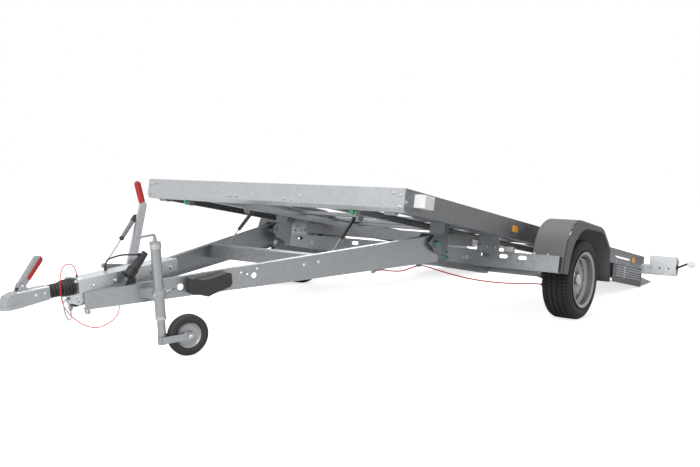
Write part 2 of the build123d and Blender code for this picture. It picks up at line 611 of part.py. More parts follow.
def build_rim():
    """Steel wheel with hub and brake drum, turned about the axle, for the right side."""
    outer = WHEEL_Y + RIM_WIDTH / 2
    inner = WHEEL_Y - RIM_WIDTH / 2
    with BuildPart() as rim:
        with BuildSketch(Plane.YZ):
            add(folded([(outer, FLANGE_RADIUS), (outer - 6, BEAD_RADIUS), (outer - 42, BEAD_RADIUS),
                        (outer - 58, WELL_RADIUS), (inner + 62, WELL_RADIUS),
                        (inner + 34, BEAD_RADIUS), (inner + 6, BEAD_RADIUS),
                        (inner, FLANGE_RADIUS)], RIM_GAUGE, Side.LEFT))
        revolve(axis=Axis.Y)
        with BuildSketch(Plane.YZ):
            add(folded([(WHEEL_Y + 10, WELL_RADIUS - 2), (WHEEL_Y + 44, VENT_CIRCLE + 12),
                        (WHEEL_Y + 50, VENT_CIRCLE - 22), (WHEEL_Y + 30, HUB_RADIUS + 26),
                        (WHEEL_Y + 30, HUB_RADIUS - 4)], RIM_GAUGE, Side.RIGHT))
        revolve(axis=Axis.Y)
        with BuildSketch(Plane.YZ):
            with BuildLine():
                Polyline((AXLE_HALF_LENGTH + ARM_GAUGE + 8, STUB_RADIUS + RUNNING_GAP),
                         (AXLE_HALF_LENGTH + ARM_GAUGE + 8, DRUM_RADIUS),
                         (AXLE_HALF_LENGTH + ARM_GAUGE + 8 + DRUM_LENGTH, DRUM_RADIUS),
                         (AXLE_HALF_LENGTH + ARM_GAUGE + 8 + DRUM_LENGTH, HUB_RADIUS),
                         (WHEEL_Y + 52, HUB_RADIUS), (WHEEL_Y + 62, HUB_RADIUS - 8),
                         (WHEEL_Y + 62, 0), (WHEEL_Y + 30, 0),
                         (WHEEL_Y + 30, STUB_RADIUS + RUNNING_GAP), close=True)
            make_face()
        revolve(axis=Axis.Y)
        with BuildSketch(across(WHEEL_Y + 60)):
            with PolarLocations(VENT_CIRCLE, VENT_COUNT):
                Circle(VENT_RADIUS)
        extrude(amount=44, mode=Mode.SUBTRACT)
    return rim.part


def build_tyre():
    """Tyre with three grooves round its tread, for the right side."""
    half = TYRE_WIDTH / 2
    seat = BEAD_RADIUS + 0.3
    with BuildPart() as tyre:
        with BuildSketch(Plane.YZ):
            with BuildLine():
                for side in (-1, 1):
                    Line((WHEEL_Y, seat), (WHEEL_Y + side * (half - 12), seat))
                    Line((WHEEL_Y + side * (half - 12), seat),
                         (WHEEL_Y + side * (half - 12), FLANGE_RADIUS + 4))
                    ThreePointArc((WHEEL_Y + side * (half - 12), FLANGE_RADIUS + 4),
                                  (WHEEL_Y + side * half, FLANGE_RADIUS + 34),
                                  (WHEEL_Y + side * (half - 16), TYRE_RADIUS - 8))
                    ThreePointArc((WHEEL_Y + side * (half - 16), TYRE_RADIUS - 8),
                                  (WHEEL_Y + side * (half - 24), TYRE_RADIUS - 2),
                                  (WHEEL_Y + side * (half - 34), TYRE_RADIUS))
                    Line((WHEEL_Y + side * (half - 34), TYRE_RADIUS), (WHEEL_Y, TYRE_RADIUS))
            make_face()
            for offset_y in (-GROOVE_SPACING, 0, GROOVE_SPACING):
                with Locations((WHEEL_Y + offset_y, TYRE_RADIUS)):
                    Rectangle(GROOVE_WIDTH, 2 * GROOVE_DEPTH, mode=Mode.SUBTRACT)
        revolve(axis=Axis.Y)
    return tyre.part


right_rim = build_rim()
right_tyre = build_tyre()
finish(right_rim, "rim_right", DECK_POSE)
finish(right_tyre, "tyre_right", DECK_POSE)
finish(mirror(right_rim, about=Plane.XZ), "rim_left", DECK_POSE)
finish(mirror(right_tyre, about=Plane.XZ), "tyre_left", DECK_POSE)

# Fenders: moulded arches with a side wall on both sides, on the beam in front and on a stay behind
fender_foot = FENDER_BEAM_X + FENDER_BEAM_TOP_FLANGE
fender_outline = [(fender_foot, FENDER_BEAM_BOTTOM + SHEET), (fender_foot, FENDER_BEAM_TOP), *FENDER_OUTLINE]


def arch(points, radii):
    """Face under a rounded arch."""
    with BuildSketch(mode=Mode.PRIVATE) as face:
        with BuildLine():
            FilletPolyline(*points, radius=radii)
            Line(points[-1], points[0])
        make_face()
    return face.sketch


with BuildPart() as fenders:
    with BuildSketch(across(FENDER_INNER + FENDER_WIDTH)):
        add(arch(fender_outline, FENDER_RADII))
    extrude(amount=FENDER_WIDTH)
    for end in (0, -1):
        rim_edges = fenders.faces().sort_by(Axis.Y)[end].edges()
        fillet(rim_edges.filter_by(lambda e: e.center().Z > FENDER_BEAM_TOP), radius=FENDER_EDGE)
    with BuildSketch(across(FENDER_INNER + FENDER_WIDTH - FENDER_GAUGE)):
        add(offset(arch(fender_outline, FENDER_RADII), amount=-FENDER_GAUGE))
        with Locations(((FENDER_OPENING[0][0] + FENDER_OPENING[-1][0]) / 2, FENDER_BEAM_BOTTOM)):
            Rectangle(FENDER_OPENING[-1][0] - FENDER_OPENING[0][0], 2 * FENDER_EDGE)
    extrude(amount=FENDER_WIDTH - 2 * FENDER_GAUGE, mode=Mode.SUBTRACT)
    with BuildSketch(across(FENDER_INNER + FENDER_WIDTH)):
        add(arch(FENDER_OPENING, FENDER_OPENING_RADII))
    extrude(amount=FENDER_WIDTH, mode=Mode.SUBTRACT)
    mirror(about=Plane.XZ)
finish(fenders.part, "fenders", DECK_POSE)

# Fender stays: angle bars from the side rails to the inner walls of the fenders
with BuildPart() as fender_stays:
    with BuildSketch(across(FENDER_INNER)):
        add(folded([(STAY_X - STAY_WIDTH / 2, STAY_Z + STAY_WIDTH / 2),
                    (STAY_X - STAY_WIDTH / 2, STAY_Z - STAY_WIDTH / 2),
                    (STAY_X + STAY_WIDTH / 2, STAY_Z - STAY_WIDTH / 2)], SHEET, Side.LEFT))
    extrude(amount=FENDER_INNER - DECK_HALF_WIDTH)
    mirror(about=Plane.XZ)
finish(fender_stays.part, "fender_stays", DECK_POSE)

# Tail ramps: the tracks run down inside the tail, on an inner side plate
with BuildPart() as tail_ramps:
    with BuildSketch(across(TRACK_OUTER)):
        with BuildLine():
            Polyline((TAIL_START, TRACK_TOP), (TAIL_END, TAIL_RUN_END), (TAIL_END, TAIL_RUN_END - SHEET),
                     (TAIL_START, TRACK_TOP - SHEET), close=True)
        make_face()
    extrude(amount=TRACK_WIDTH)
    with BuildSketch(across(TRACK_INNER + SHEET)):
        with BuildLine():
            Polyline((TAIL_START, DECK_BOTTOM - 60), (TAIL_START, TRACK_TOP - SHEET),
                     (TAIL_END, TAIL_RUN_END - SHEET), (TAIL_END, TAIL_BOTTOM + 8), close=True)
        make_face()
    extrude(amount=SHEET)
    mirror(about=Plane.XZ)
finish(tail_ramps.part, "tail_ramps", DECK_POSE)

# Tail frame: outer side plates under the rails, joined by a bar across the tail
with BuildPart() as tail_frame:
    for side in (-1, 1):
        with BuildSketch(across(max(side * DECK_HALF_WIDTH, side * INNER_RAIL_FACE))):
            with BuildLine():
                Polyline((TAIL_START, TAIL_BOTTOM + 4), (TAIL_START, DECK_BOTTOM),
                         (TAIL_END, DECK_BOTTOM), (TAIL_END, TAIL_BOTTOM), close=True)
            make_face()
        extrude(amount=SHEET)
    with BuildSketch(across(TRACK_INNER)):
        with Locations((TAIL_END - TAIL_BAR_DEPTH / 2, TAIL_RUN_END - SHEET - TAIL_BAR_HEIGHT / 2)):
            Rectangle(TAIL_BAR_DEPTH, TAIL_BAR_HEIGHT)
            Rectangle(TAIL_BAR_DEPTH - 2 * SHEET, TAIL_BAR_HEIGHT - 2 * SHEET, mode=Mode.SUBTRACT)
    extrude(amount=2 * TRACK_INNER)
finish(tail_frame.part, "tail_frame", DECK_POSE)

# Loading lips: wedges that lie on the ground behind the tracks
with BuildPart() as loading_lips:
    tip = (TAIL_END + LIP_REACH, LIP_TIP_HEIGHT)
    with BuildSketch(across(TRACK_OUTER)):
        with BuildLine():
            Polyline((TAIL_END, TAIL_RUN_END - SHEET), (TAIL_END, TAIL_RUN_END), tip,
                     (tip[0] - 2, tip[1] - SHEET), close=True)
        make_face()
    extrude(amount=TRACK_WIDTH)
    for y in (TRACK_OUTER, TRACK_INNER + SHEET):
        with BuildSketch(across(y)):
            with BuildLine():
                Polyline((TAIL_END, TAIL_BOTTOM + 8), (TAIL_END, TAIL_RUN_END), tip, close=True)
            make_face()
        extrude(amount=SHEET)
    mirror(about=Plane.XZ)
finish(loading_lips.part, "loading_lips", DECK_POSE)

# Lamp brackets: folded boxes beside the tail, open to the rear, with a row of holes
with BuildPart() as lamp_brackets:
    outer = DECK_HALF_WIDTH + LAMP_BRACKET_REACH
    with BuildSketch(Plane.YZ.offset(LAMP_BRACKET_X)):
        with BuildLine():
            Polyline((DECK_HALF_WIDTH, LAMP_BRACKET_BOTTOM), (DECK_HALF_WIDTH, LAMP_BRACKET_LOW_TOP),
                     (outer - LAMP_BRACKET_BOX, LAMP_BRACKET_LOW_TOP),
                     (outer - LAMP_BRACKET_BOX, LAMP_BRACKET_TOP), (outer, LAMP_BRACKET_TOP),
                     (outer, LAMP_BRACKET_BOTTOM), close=True)
        make_face()
    extrude(amount=LAMP_BRACKET_DEPTH)
    offset(amount=-SHEET, openings=lamp_brackets.faces().sort_by(Axis.X)[-1])
    with BuildSketch(Plane.YZ.offset(LAMP_BRACKET_X)):
        with Locations((DECK_HALF_WIDTH + LAMP_HOLE_START + 1.5 * LAMP_HOLE_PITCH, LAMP_BRACKET_BOTTOM + LAMP_HOLE_RISE)):
            with GridLocations(LAMP_HOLE_PITCH, 1, 4, 1):
                Circle(7)
    extrude(amount=SHEET, mode=Mode.SUBTRACT)
    mirror(about=Plane.XZ)
finish(lamp_brackets.part, "lamp_brackets", DECK_POSE)

with BuildPart() as rear_lamps:
    lamp_x = LAMP_BRACKET_X + LAMP_BRACKET_DEPTH
    with BuildSketch(Plane.YZ.offset(lamp_x)):
        with Locations((DECK_HALF_WIDTH + LAMP_BRACKET_REACH - LAMP_BRACKET_BOX / 2,
                        (LAMP_BRACKET_BOTTOM + LAMP_BRACKET_TOP) / 2)):
            RectangleRounded(LAMP_BRACKET_BOX - 4, LAMP_BRACKET_TOP - LAMP_BRACKET_BOTTOM - 26, 14)
    extrude(amount=LAMP_DEPTH)
    fillet(rear_lamps.faces().sort_by(Axis.X)[-1].edges(), radius=8)
    mirror(about=Plane.XZ)
finish(rear_lamps.part, "rear_lamps", DECK_POSE)

# Marker lamps on rubber arms outside the lamp brackets
arm_root = Vector(LAMP_BRACKET_X + LAMP_BRACKET_DEPTH / 2, DECK_HALF_WIDTH + LAMP_BRACKET_REACH,
                  (LAMP_BRACKET_LOW_TOP + LAMP_BRACKET_BOTTOM) / 2 + 30)
arm_tip = arm_root + Vector(0, MARKER_ARM_REACH, MARKER_ARM_RISE)
with BuildPart() as marker_lenses:
    with BuildSketch(Plane.YZ.offset(arm_tip.X - MARKER_LENS_DEPTH / 2)):
        with Locations((arm_tip.Y + MARKER_LENS_RADIUS, arm_tip.Z)):
            Circle(MARKER_LENS_RADIUS)
    extrude(amount=MARKER_LENS_DEPTH)
    for end in (0, -1):
        fillet(marker_lenses.faces().sort_by(Axis.X)[end].edges(), radius=12)
with BuildPart() as marker_arms:
    with BuildSketch(Plane(origin=arm_root, z_dir=arm_tip - arm_root)):
        Circle(MARKER_ARM_RADIUS)
    extrude(amount=(arm_tip - arm_root).length + MARKER_ARM_RADIUS)
    with BuildSketch(across(arm_root.Y + MARKER_FOOT)):
        with Locations((arm_root.X, arm_root.Z + MARKER_FOOT / 2)):
            Circle(2.4 * MARKER_ARM_RADIUS)
    extrude(amount=MARKER_FOOT)
    with BuildSketch(across(arm_root.Y)):
        with Locations((arm_root.X, arm_root.Z)):
            Circle(4 * MARKER_ARM_RADIUS)
    extrude(amount=4 * MARKER_ARM_RADIUS, mode=Mode.SUBTRACT)
    add(marker_lenses.part, mode=Mode.SUBTRACT)
    mirror(about=Plane.XZ)
finish(marker_arms.part, "marker_arms", DECK_POSE)
finish(marker_lenses.part + mirror(marker_lenses.part, about=Plane.XZ), "marker_lenses", DECK_POSE)

with BuildPart() as front_markers:
    with BuildSketch(across(DECK_HALF_WIDTH + FRONT_MARKER_REACH)):
        with Locations((FRONT_MARKER_X, FRONT_MARKER_BOTTOM)):
            Rectangle(FRONT_MARKER_LENGTH, FRONT_MARKER_HEIGHT, align=(Align.MIN, Align.MIN))
    extrude(amount=FRONT_MARKER_REACH)
    fillet(front_markers.faces().sort_by(Axis.Y)[-1].edges(), radius=6)
    mirror(about=Plane.XZ)
finish(front_markers.part, "front_markers", DECK_POSE)

with BuildPart() as side_reflectors:
    with BuildSketch(across(DECK_HALF_WIDTH + REFLECTOR_DEPTH)):
        for x in REFLECTOR_X:
            with Locations((x, REFLECTOR_Z)):
                RectangleRounded(REFLECTOR_LENGTH, REFLECTOR_HEIGHT, 6)
    extrude(amount=REFLECTOR_DEPTH)
    mirror(about=Plane.XZ)
finish(side_reflectors.part, "side_reflectors", DECK_POSE)

# Drawbar beams: tapered channels that meet at the front, open towards each other
beam_run = (BAR_REAR - BAR_FRONT) / cos(radians(BAR_HALF_ANGLE))
beam_plane = Plane(origin=(BAR_FRONT, BAR_FRONT_Y, 0),
                   x_dir=(cos(radians(BAR_HALF_ANGLE)), sin(radians(BAR_HALF_ANGLE)), 0),
                   z_dir=(sin(radians(BAR_HALF_ANGLE)), -cos(radians(BAR_HALF_ANGLE)), 0))


def along_beam(x):
    """Place along a beam's web of a station of the side view."""
    return (x - BAR_FRONT) / cos(radians(BAR_HALF_ANGLE))


with BuildPart() as right_beam:
    with BuildSketch(beam_plane):
        with BuildLine():
            Polyline((0, BAR_TOP), (0, BAR_TOP - BAR_FRONT_DEPTH),
                     (beam_run, BAR_TOP - BAR_REAR_DEPTH), (beam_run, BAR_TOP), close=True)
        make_face()
    extrude(amount=BAR_FLANGE)
    with BuildSketch(beam_plane.offset(BAR_GAUGE)):
        with BuildLine():
            Polyline((0, BAR_TOP - BAR_GAUGE), (0, BAR_TOP - BAR_FRONT_DEPTH + BAR_GAUGE),
                     (beam_run, BAR_TOP - BAR_REAR_DEPTH + BAR_GAUGE),
                     (beam_run, BAR_TOP - BAR_GAUGE), close=True)
        make_face()
    extrude(amount=BAR_FLANGE, mode=Mode.SUBTRACT)
    with BuildSketch(beam_plane):
        for x, z, radius in BAR_HOLES:
            with Locations((along_beam(x), z)):
                Circle(radius)
    extrude(amount=BAR_GAUGE, mode=Mode.SUBTRACT)
    bush_outer = POST_OUTER - POST_GAUGE - HINGE_SIDE_GAP
    bush_inner = POST_INNER + POST_GAUGE + HINGE_SIDE_GAP
    with BuildSketch(across(bush_outer)):
        with Locations((HINGE_X, HINGE_Z)):
            Circle(BUSH_RADIUS)
    extrude(amount=bush_outer - bush_inner)
    with BuildSketch(across(bush_outer)):
        with Locations((HINGE_X, HINGE_Z)):
            Circle(PIN_RADIUS + RUNNING_GAP)
    extrude(amount=bush_outer - bush_inner, mode=Mode.SUBTRACT)
with BuildPart() as left_beam:
    add(mirror(right_beam.part, about=Plane.XZ))
    for point, facing in ((FRONT_CABLE[0], Align.MAX), (FRONT_CABLE[-1], Align.MIN)):
        with Locations((point[0], point[1], point[2] - CLIP_SIZE / 2)):
            Box(CLIP_SIZE, CLIP_SIZE, CLIP_SIZE + CLIP_RISE, align=(facing, Align.CENTER, Align.MIN))
finish(right_beam.part, "drawbar_beam_right", BAR_POSE)
finish(left_beam.part, "drawbar_beam_left", BAR_POSE)

# Drawbar cross member: channel between the beams' webs, with the lower strut lugs
with BuildPart() as drawbar_cross:
    reach = bar_y(CROSS_X + CROSS_WIDTH)
    with BuildSketch(across(reach)):
        add(folded([(CROSS_X + CROSS_WIDTH, CROSS_TOP - CROSS_HEIGHT),
                    (CROSS_X, CROSS_TOP - CROSS_HEIGHT), (CROSS_X, CROSS_TOP),
                    (CROSS_X + CROSS_WIDTH, CROSS_TOP)], BAR_GAUGE, Side.RIGHT))
    extrude(amount=2 * reach)
    inner_face = beam_plane.offset(BAR_GAUGE)
    split(bisect_by=inner_face, keep=Keep.TOP)
    left_face = Plane(origin=(inner_face.origin.X, -inner_face.origin.Y, 0),
                      x_dir=(beam_plane.x_dir.X, -beam_plane.x_dir.Y, 0),
                      z_dir=(beam_plane.z_dir.X, -beam_plane.z_dir.Y, 0))
    split(bisect_by=left_face, keep=Keep.TOP)
    for side in (-1, 1):
        lug_y = side * (STRUT_Y - STRUT_EYE_WIDTH / 2 - 4)
        with BuildSketch(across(lug_y + 3)):
            with BuildLine():
                Polyline((CROSS_X + BAR_GAUGE, CROSS_TOP - 6), (STRUT_FOOT_X, STRUT_FOOT_Z + 14),
                         (STRUT_FOOT_X + 14, STRUT_FOOT_Z), (STRUT_FOOT_X, STRUT_FOOT_Z - 14),
                         (CROSS_X + BAR_GAUGE, CROSS_TOP - CROSS_HEIGHT + 6), close=True)
            make_face()
        extrude(amount=6)
        pin_end = side * (STRUT_Y + STRUT_EYE_WIDTH / 2 + 3)
        with BuildSketch(across(max(lug_y, pin_end))):
            with Locations((STRUT_FOOT_X, STRUT_FOOT_Z)):
                Circle(STRUT_PIN_RADIUS)
        extrude(amount=abs(pin_end - lug_y))
finish(drawbar_cross.part, "drawbar_cross_member", BAR_POSE)

# Overrun housing: rectangular tunnel on the beams, with a bored nose plate
with BuildPart() as housing:
    with BuildSketch(Plane.YZ.offset(HOUSING_FRONT)):
        with Locations((0, BAR_TOP + HOUSING_HEIGHT / 2)):
            Rectangle(2 * HOUSING_HALF_WIDTH, HOUSING_HEIGHT)
            Rectangle(2 * (HOUSING_HALF_WIDTH - HOUSING_WALL), HOUSING_HEIGHT - 2 * HOUSING_WALL,
                      mode=Mode.SUBTRACT)
    extrude(amount=HOUSING_REAR - HOUSING_FRONT)
    with BuildSketch(Plane.YZ.offset(HOUSING_FRONT - NOSE_PLATE)):
        with Locations((0, (NOSE_PLATE_BOTTOM + NOSE_PLATE_TOP) / 2)):
            RectangleRounded(2 * NOSE_PLATE_HALF_WIDTH, NOSE_PLATE_TOP - NOSE_PLATE_BOTTOM, 12)
        with Locations((0, SHAFT_Z)):
            Circle(SHAFT_RADIUS + RUNNING_GAP, mode=Mode.SUBTRACT)
    extrude(amount=NOSE_PLATE)
finish(housing.part, "overrun_housing", BAR_POSE)

# Gaiter: folded rubber cone round the shaft, fixed to the nose plate
with BuildPart() as gaiter:
    gaiter_rear = HOUSING_FRONT - NOSE_PLATE
    gaiter_length = gaiter_rear - GAITER_FRONT - OVERRUN_TRAVEL
    fold = gaiter_length / GAITER_FOLDS
    with BuildSketch(Plane.XZ):
        with BuildLine():
            inner = SHAFT_RADIUS + 2
            points = [(gaiter_rear, SHAFT_Z + inner)]
            for i in range(GAITER_FOLDS):
                radius = GAITER_REAR_RADIUS - (GAITER_REAR_RADIUS - GAITER_FRONT_RADIUS) * i / GAITER_FOLDS
                points.append((gaiter_rear - i * fold, SHAFT_Z + radius))
                points.append((gaiter_rear - (i + 0.5) * fold, SHAFT_Z + radius))
                points.append((gaiter_rear - (i + 0.6) * fold, SHAFT_Z + radius - 6))
                points.append((gaiter_rear - (i + 0.9) * fold, SHAFT_Z + radius - 6))
            points.append((gaiter_rear - gaiter_length, SHAFT_Z + inner))
            Polyline(*points, close=True)
        make_face()
    revolve(axis=Axis((0, 0, SHAFT_Z), (1, 0, 0)))
finish(gaiter.part, "gaiter", BAR_POSE)

# Overrun shaft with the pressed coupling head on its front end
with BuildPart() as shaft:
    with BuildSketch(Plane.YZ.offset(HEAD_REAR)):
        with Locations((0, SHAFT_Z)):
            Circle(SHAFT_RADIUS)
    extrude(amount=SHAFT_REAR - HEAD_REAR)
finish(shaft.part, "overrun_shaft", BAR_POSE)

with BuildPart() as head:
    with BuildSketch(across(HEAD_HALF_WIDTH)):
        with BuildLine():
            Polyline((HEAD_REAR, HEAD_BOTTOM + 8), (HEAD_REAR, HEAD_ROOF - 2), (HANDLE_PIVOT_X + 60, HEAD_ROOF),
                     (HANDLE_PIVOT_X - 34, HEAD_ROOF), (HEAD_FRONT + 24, HEAD_ROOF - 14),
                     (HEAD_FRONT + 12, HEAD_RIM_TOP + 18), (HEAD_FRONT + HEAD_RIM, HEAD_RIM_TOP),
                     (HEAD_FRONT + HEAD_RIM, HEAD_BOTTOM), (HEAD_RIM_REAR, HEAD_BOTTOM), close=True)
        make_face()
    extrude(amount=2 * HEAD_HALF_WIDTH)
    nose_edges = head.edges().filter_by(Axis.Z).sort_by(Axis.X)[:2]
    fillet(nose_edges, radius=HEAD_NOSE_RADIUS)
    fillet(head.faces().sort_by(Axis.Z)[-1].edges().filter_by(Axis.X), radius=12)
    with BuildSketch(Plane.XY.offset(HEAD_BOTTOM)):
        with Locations((HEAD_FRONT, 0)):
            Rectangle(HEAD_RIM_REAR - HEAD_FRONT, 2 * (HEAD_HALF_WIDTH + HEAD_RIM), align=(Align.MIN, Align.CENTER))
        fillet(vertices().sort_by(Axis.X)[:2], radius=HEAD_NOSE_RADIUS + HEAD_RIM)
    extrude(amount=HEAD_RIM_TOP - HEAD_BOTTOM)
    with Locations((BALL_X, 0, BALL_Z)):
        Sphere(BALL_RADIUS, mode=Mode.SUBTRACT)
        Cylinder(BALL_RADIUS, 60, align=(Align.CENTER, Align.CENTER, Align.MAX), mode=Mode.SUBTRACT)
    ear_inner = HANDLE_WIDTH / 2 + 1
    for y in (ear_inner + HANDLE_EAR, -ear_inner):
        with BuildSketch(across(y)):
            with Locations((HANDLE_PIVOT_X, HANDLE_PIVOT_Z)):
                Circle(HANDLE_ROOT_RADIUS - 2)
            with Locations((HANDLE_PIVOT_X, HEAD_ROOF - 1)):
                Rectangle(3 * HANDLE_ROOT_RADIUS, 2)
            make_hull()
        extrude(amount=HANDLE_EAR)
    with BuildSketch(across(ear_inner + HANDLE_EAR)):
        with Locations((HANDLE_PIVOT_X, HANDLE_PIVOT_Z)):
            Circle(HANDLE_PIN_RADIUS)
    extrude(amount=2 * (ear_inner + HANDLE_EAR))
finish(head.part, "coupling_head", BAR_POSE)

# Coupling handle: pressed channel hinged between the head's ears, open to the rear
handle_lean = degrees(atan((HANDLE_TIP_X - HANDLE_PIVOT_X) / (HANDLE_TIP_Z - HANDLE_PIVOT_Z)))
handle_reach = hypot(HANDLE_TIP_X - HANDLE_PIVOT_X, HANDLE_TIP_Z - HANDLE_PIVOT_Z)
with BuildPart() as handle:
    with BuildSketch(across(HANDLE_WIDTH / 2)):
        with Locations((HANDLE_PIVOT_X, HANDLE_PIVOT_Z)):
            Circle(HANDLE_ROOT_RADIUS)
        with Locations((HANDLE_TIP_X, HANDLE_TIP_Z)):
            Circle(HANDLE_TIP_RADIUS)
        make_hull()
        with Locations((HANDLE_PIVOT_X, HANDLE_PIVOT_Z)):
            Circle(HANDLE_PIN_RADIUS + RUNNING_GAP, mode=Mode.SUBTRACT)
    extrude(amount=HANDLE_WIDTH)
    with Locations(Location((HANDLE_PIVOT_X, 0, HANDLE_PIVOT_Z), (0, handle_lean, 0))):
        with Locations((-HANDLE_TIP_RADIUS + HANDLE_WALL, 0, HANDLE_ROOT_RADIUS + HANDLE_WALL)):
            Box(3 * HANDLE_TIP_RADIUS, HANDLE_WIDTH - 2 * HANDLE_WALL, handle_reach - HANDLE_ROOT_RADIUS,
                align=(Align.MIN, Align.CENTER, Align.MIN), mode=Mode.SUBTRACT)
finish(handle.part, "coupling_handle", BAR_POSE)

# Jockey wheel: clamp, outer and inner tube, fork, wheel and crank
with BuildPart() as clamp:
    web_y = bar_y(JOCKEY_X)
    with BuildSketch(Plane.XY.offset(CLAMP_Z - CLAMP_HEIGHT / 2)):
        with Locations((JOCKEY_X, JOCKEY_Y)):
            Circle(JOCKEY_OUTER_RADIUS + 8)
        with BuildLine():
            Polyline((JOCKEY_X - 22, JOCKEY_Y), (JOCKEY_X - 40, -bar_y(JOCKEY_X - 40)),
                     (JOCKEY_X + 40, -bar_y(JOCKEY_X + 40)), (JOCKEY_X + 22, JOCKEY_Y), close=True)
        make_face()
        with Locations((JOCKEY_X, JOCKEY_Y)):
            Circle(JOCKEY_OUTER_RADIUS, mode=Mode.SUBTRACT)
    extrude(amount=CLAMP_HEIGHT)
    with BuildSketch(Plane.YZ.offset(JOCKEY_X + JOCKEY_OUTER_RADIUS + 4)):
        with Locations((JOCKEY_Y, CLAMP_Z)):
            Circle(CLAMP_SCREW_RADIUS)
    extrude(amount=CLAMP_SCREW_REACH - JOCKEY_OUTER_RADIUS)
    with Locations(Location((JOCKEY_X + CLAMP_SCREW_REACH, JOCKEY_Y, CLAMP_Z), (65, 0, 0))):
        Cylinder(CLAMP_SCREW_RADIUS, CLAMP_BAR_LENGTH)
finish(clamp.part, "jockey_clamp", BAR_POSE)

with BuildPart() as outer_tube:
    with BuildSketch(Plane.XY.offset(JOCKEY_TUBE_BOTTOM)):
        with Locations((JOCKEY_X, JOCKEY_Y)):
            Circle(JOCKEY_OUTER_RADIUS)
            Circle(JOCKEY_OUTER_BORE, mode=Mode.SUBTRACT)
    extrude(amount=JOCKEY_TUBE_TOP - JOCKEY_TUBE_BOTTOM)
    with BuildSketch(Plane.XY.offset(JOCKEY_TUBE_TOP)):
        with Locations((JOCKEY_X, JOCKEY_Y)):
            Circle(JOCKEY_OUTER_RADIUS + 2)
            Circle(CRANK_ROD + RUNNING_GAP, mode=Mode.SUBTRACT)
    extrude(amount=8)
    with BuildSketch(Plane.XY.offset(JOCKEY_TUBE_BOTTOM)):
        with Locations((JOCKEY_X, JOCKEY_Y)):
            Circle(JOCKEY_OUTER_BORE)
            Circle(JOCKEY_INNER_RADIUS + RUNNING_GAP, mode=Mode.SUBTRACT)
    extrude(amount=30)
finish(outer_tube.part, "jockey_outer_tube", BAR_POSE)

# The jockey wheel's own size sets how far its tube must come down to reach the ground
lean = Location((0, 0, 0), (0, -BAR_PITCH, 0))
swivel = Location((JOCKEY_X, JOCKEY_Y, 0), (0, 0, -JOCKEY_SWIVEL))


def jockey_tyre_at(axle_z):
    """Jockey tyre with its axle at a height, in the swivelled place beside its tube."""
    with BuildPart() as tyre:
        with BuildSketch(Plane.YZ.offset(JOCKEY_TRAIL)):
            with Locations((0, axle_z + (JOCKEY_WHEEL_RADIUS + JOCKEY_RIM_RADIUS) / 2)):
                RectangleRounded(JOCKEY_WHEEL_WIDTH, JOCKEY_WHEEL_RADIUS - JOCKEY_RIM_RADIUS, 14)
        revolve(axis=Axis((JOCKEY_TRAIL, 0, axle_z), (0, 1, 0)))
    return tyre.part.moved(swivel)


probe = jockey_tyre_at(0).moved(BAR_POSE)
JOCKEY_AXLE_Z = -probe.bounding_box().min.Z / cos(radians(BAR_PITCH))
JOCKEY_STEM_BOTTOM = JOCKEY_AXLE_Z - 22

with BuildPart() as inner_tube:
    inner_bottom = JOCKEY_STEM_BOTTOM + JOCKEY_CROWN_HEIGHT + 1
    with BuildSketch(Plane.XY.offset(inner_bottom)):
        with Locations((JOCKEY_X, JOCKEY_Y)):
            Circle(JOCKEY_INNER_RADIUS)
            Circle(JOCKEY_INNER_RADIUS - 3, mode=Mode.SUBTRACT)
    extrude(amount=JOCKEY_INNER_TOP - inner_bottom)
    with BuildSketch(Plane.XY.offset(inner_bottom)):
        with Locations((JOCKEY_X, JOCKEY_Y)):
            Circle(JOCKEY_INNER_RADIUS - 3)
            Circle(JOCKEY_PIN_RADIUS + RUNNING_GAP, mode=Mode.SUBTRACT)
    extrude(amount=14)
finish(inner_tube.part, "jockey_inner_tube", BAR_POSE)

with BuildPart() as fork:
    with BuildSketch(Plane.XY.offset(JOCKEY_STEM_BOTTOM)):
        Circle(JOCKEY_INNER_RADIUS + 2)
    extrude(amount=JOCKEY_CROWN_HEIGHT)
    for side in (-1, 1):
        y = side * (JOCKEY_WHEEL_WIDTH / 2 + 6)
        with BuildSketch(across(y + 2)):
            with Locations((JOCKEY_TRAIL, JOCKEY_AXLE_Z)):
                Circle(16)
            with Locations((0, JOCKEY_AXLE_Z)):
                Rectangle(10, 34)
            make_hull()
        extrude(amount=4)
    with BuildSketch(Plane.YZ.offset(-8)):
        with Locations((0, JOCKEY_AXLE_Z)):
            Rectangle(JOCKEY_WHEEL_WIDTH + 16, 34)
    extrude(amount=18)
    with BuildSketch(across(JOCKEY_WHEEL_WIDTH / 2 + 12)):
        with Locations((JOCKEY_TRAIL, JOCKEY_AXLE_Z)):
            Circle(7)
    extrude(amount=JOCKEY_WHEEL_WIDTH + 24)
finish(fork.part.moved(swivel), "jockey_fork", BAR_POSE)

with BuildPart() as swivel_pin:
    with BuildSketch(Plane.XY.offset(JOCKEY_STEM_BOTTOM + JOCKEY_CROWN_HEIGHT)):
        Circle(JOCKEY_PIN_RADIUS)
    extrude(amount=JOCKEY_PIN_REACH)
finish(swivel_pin.part.moved(swivel), "jockey_swivel_pin", BAR_POSE)

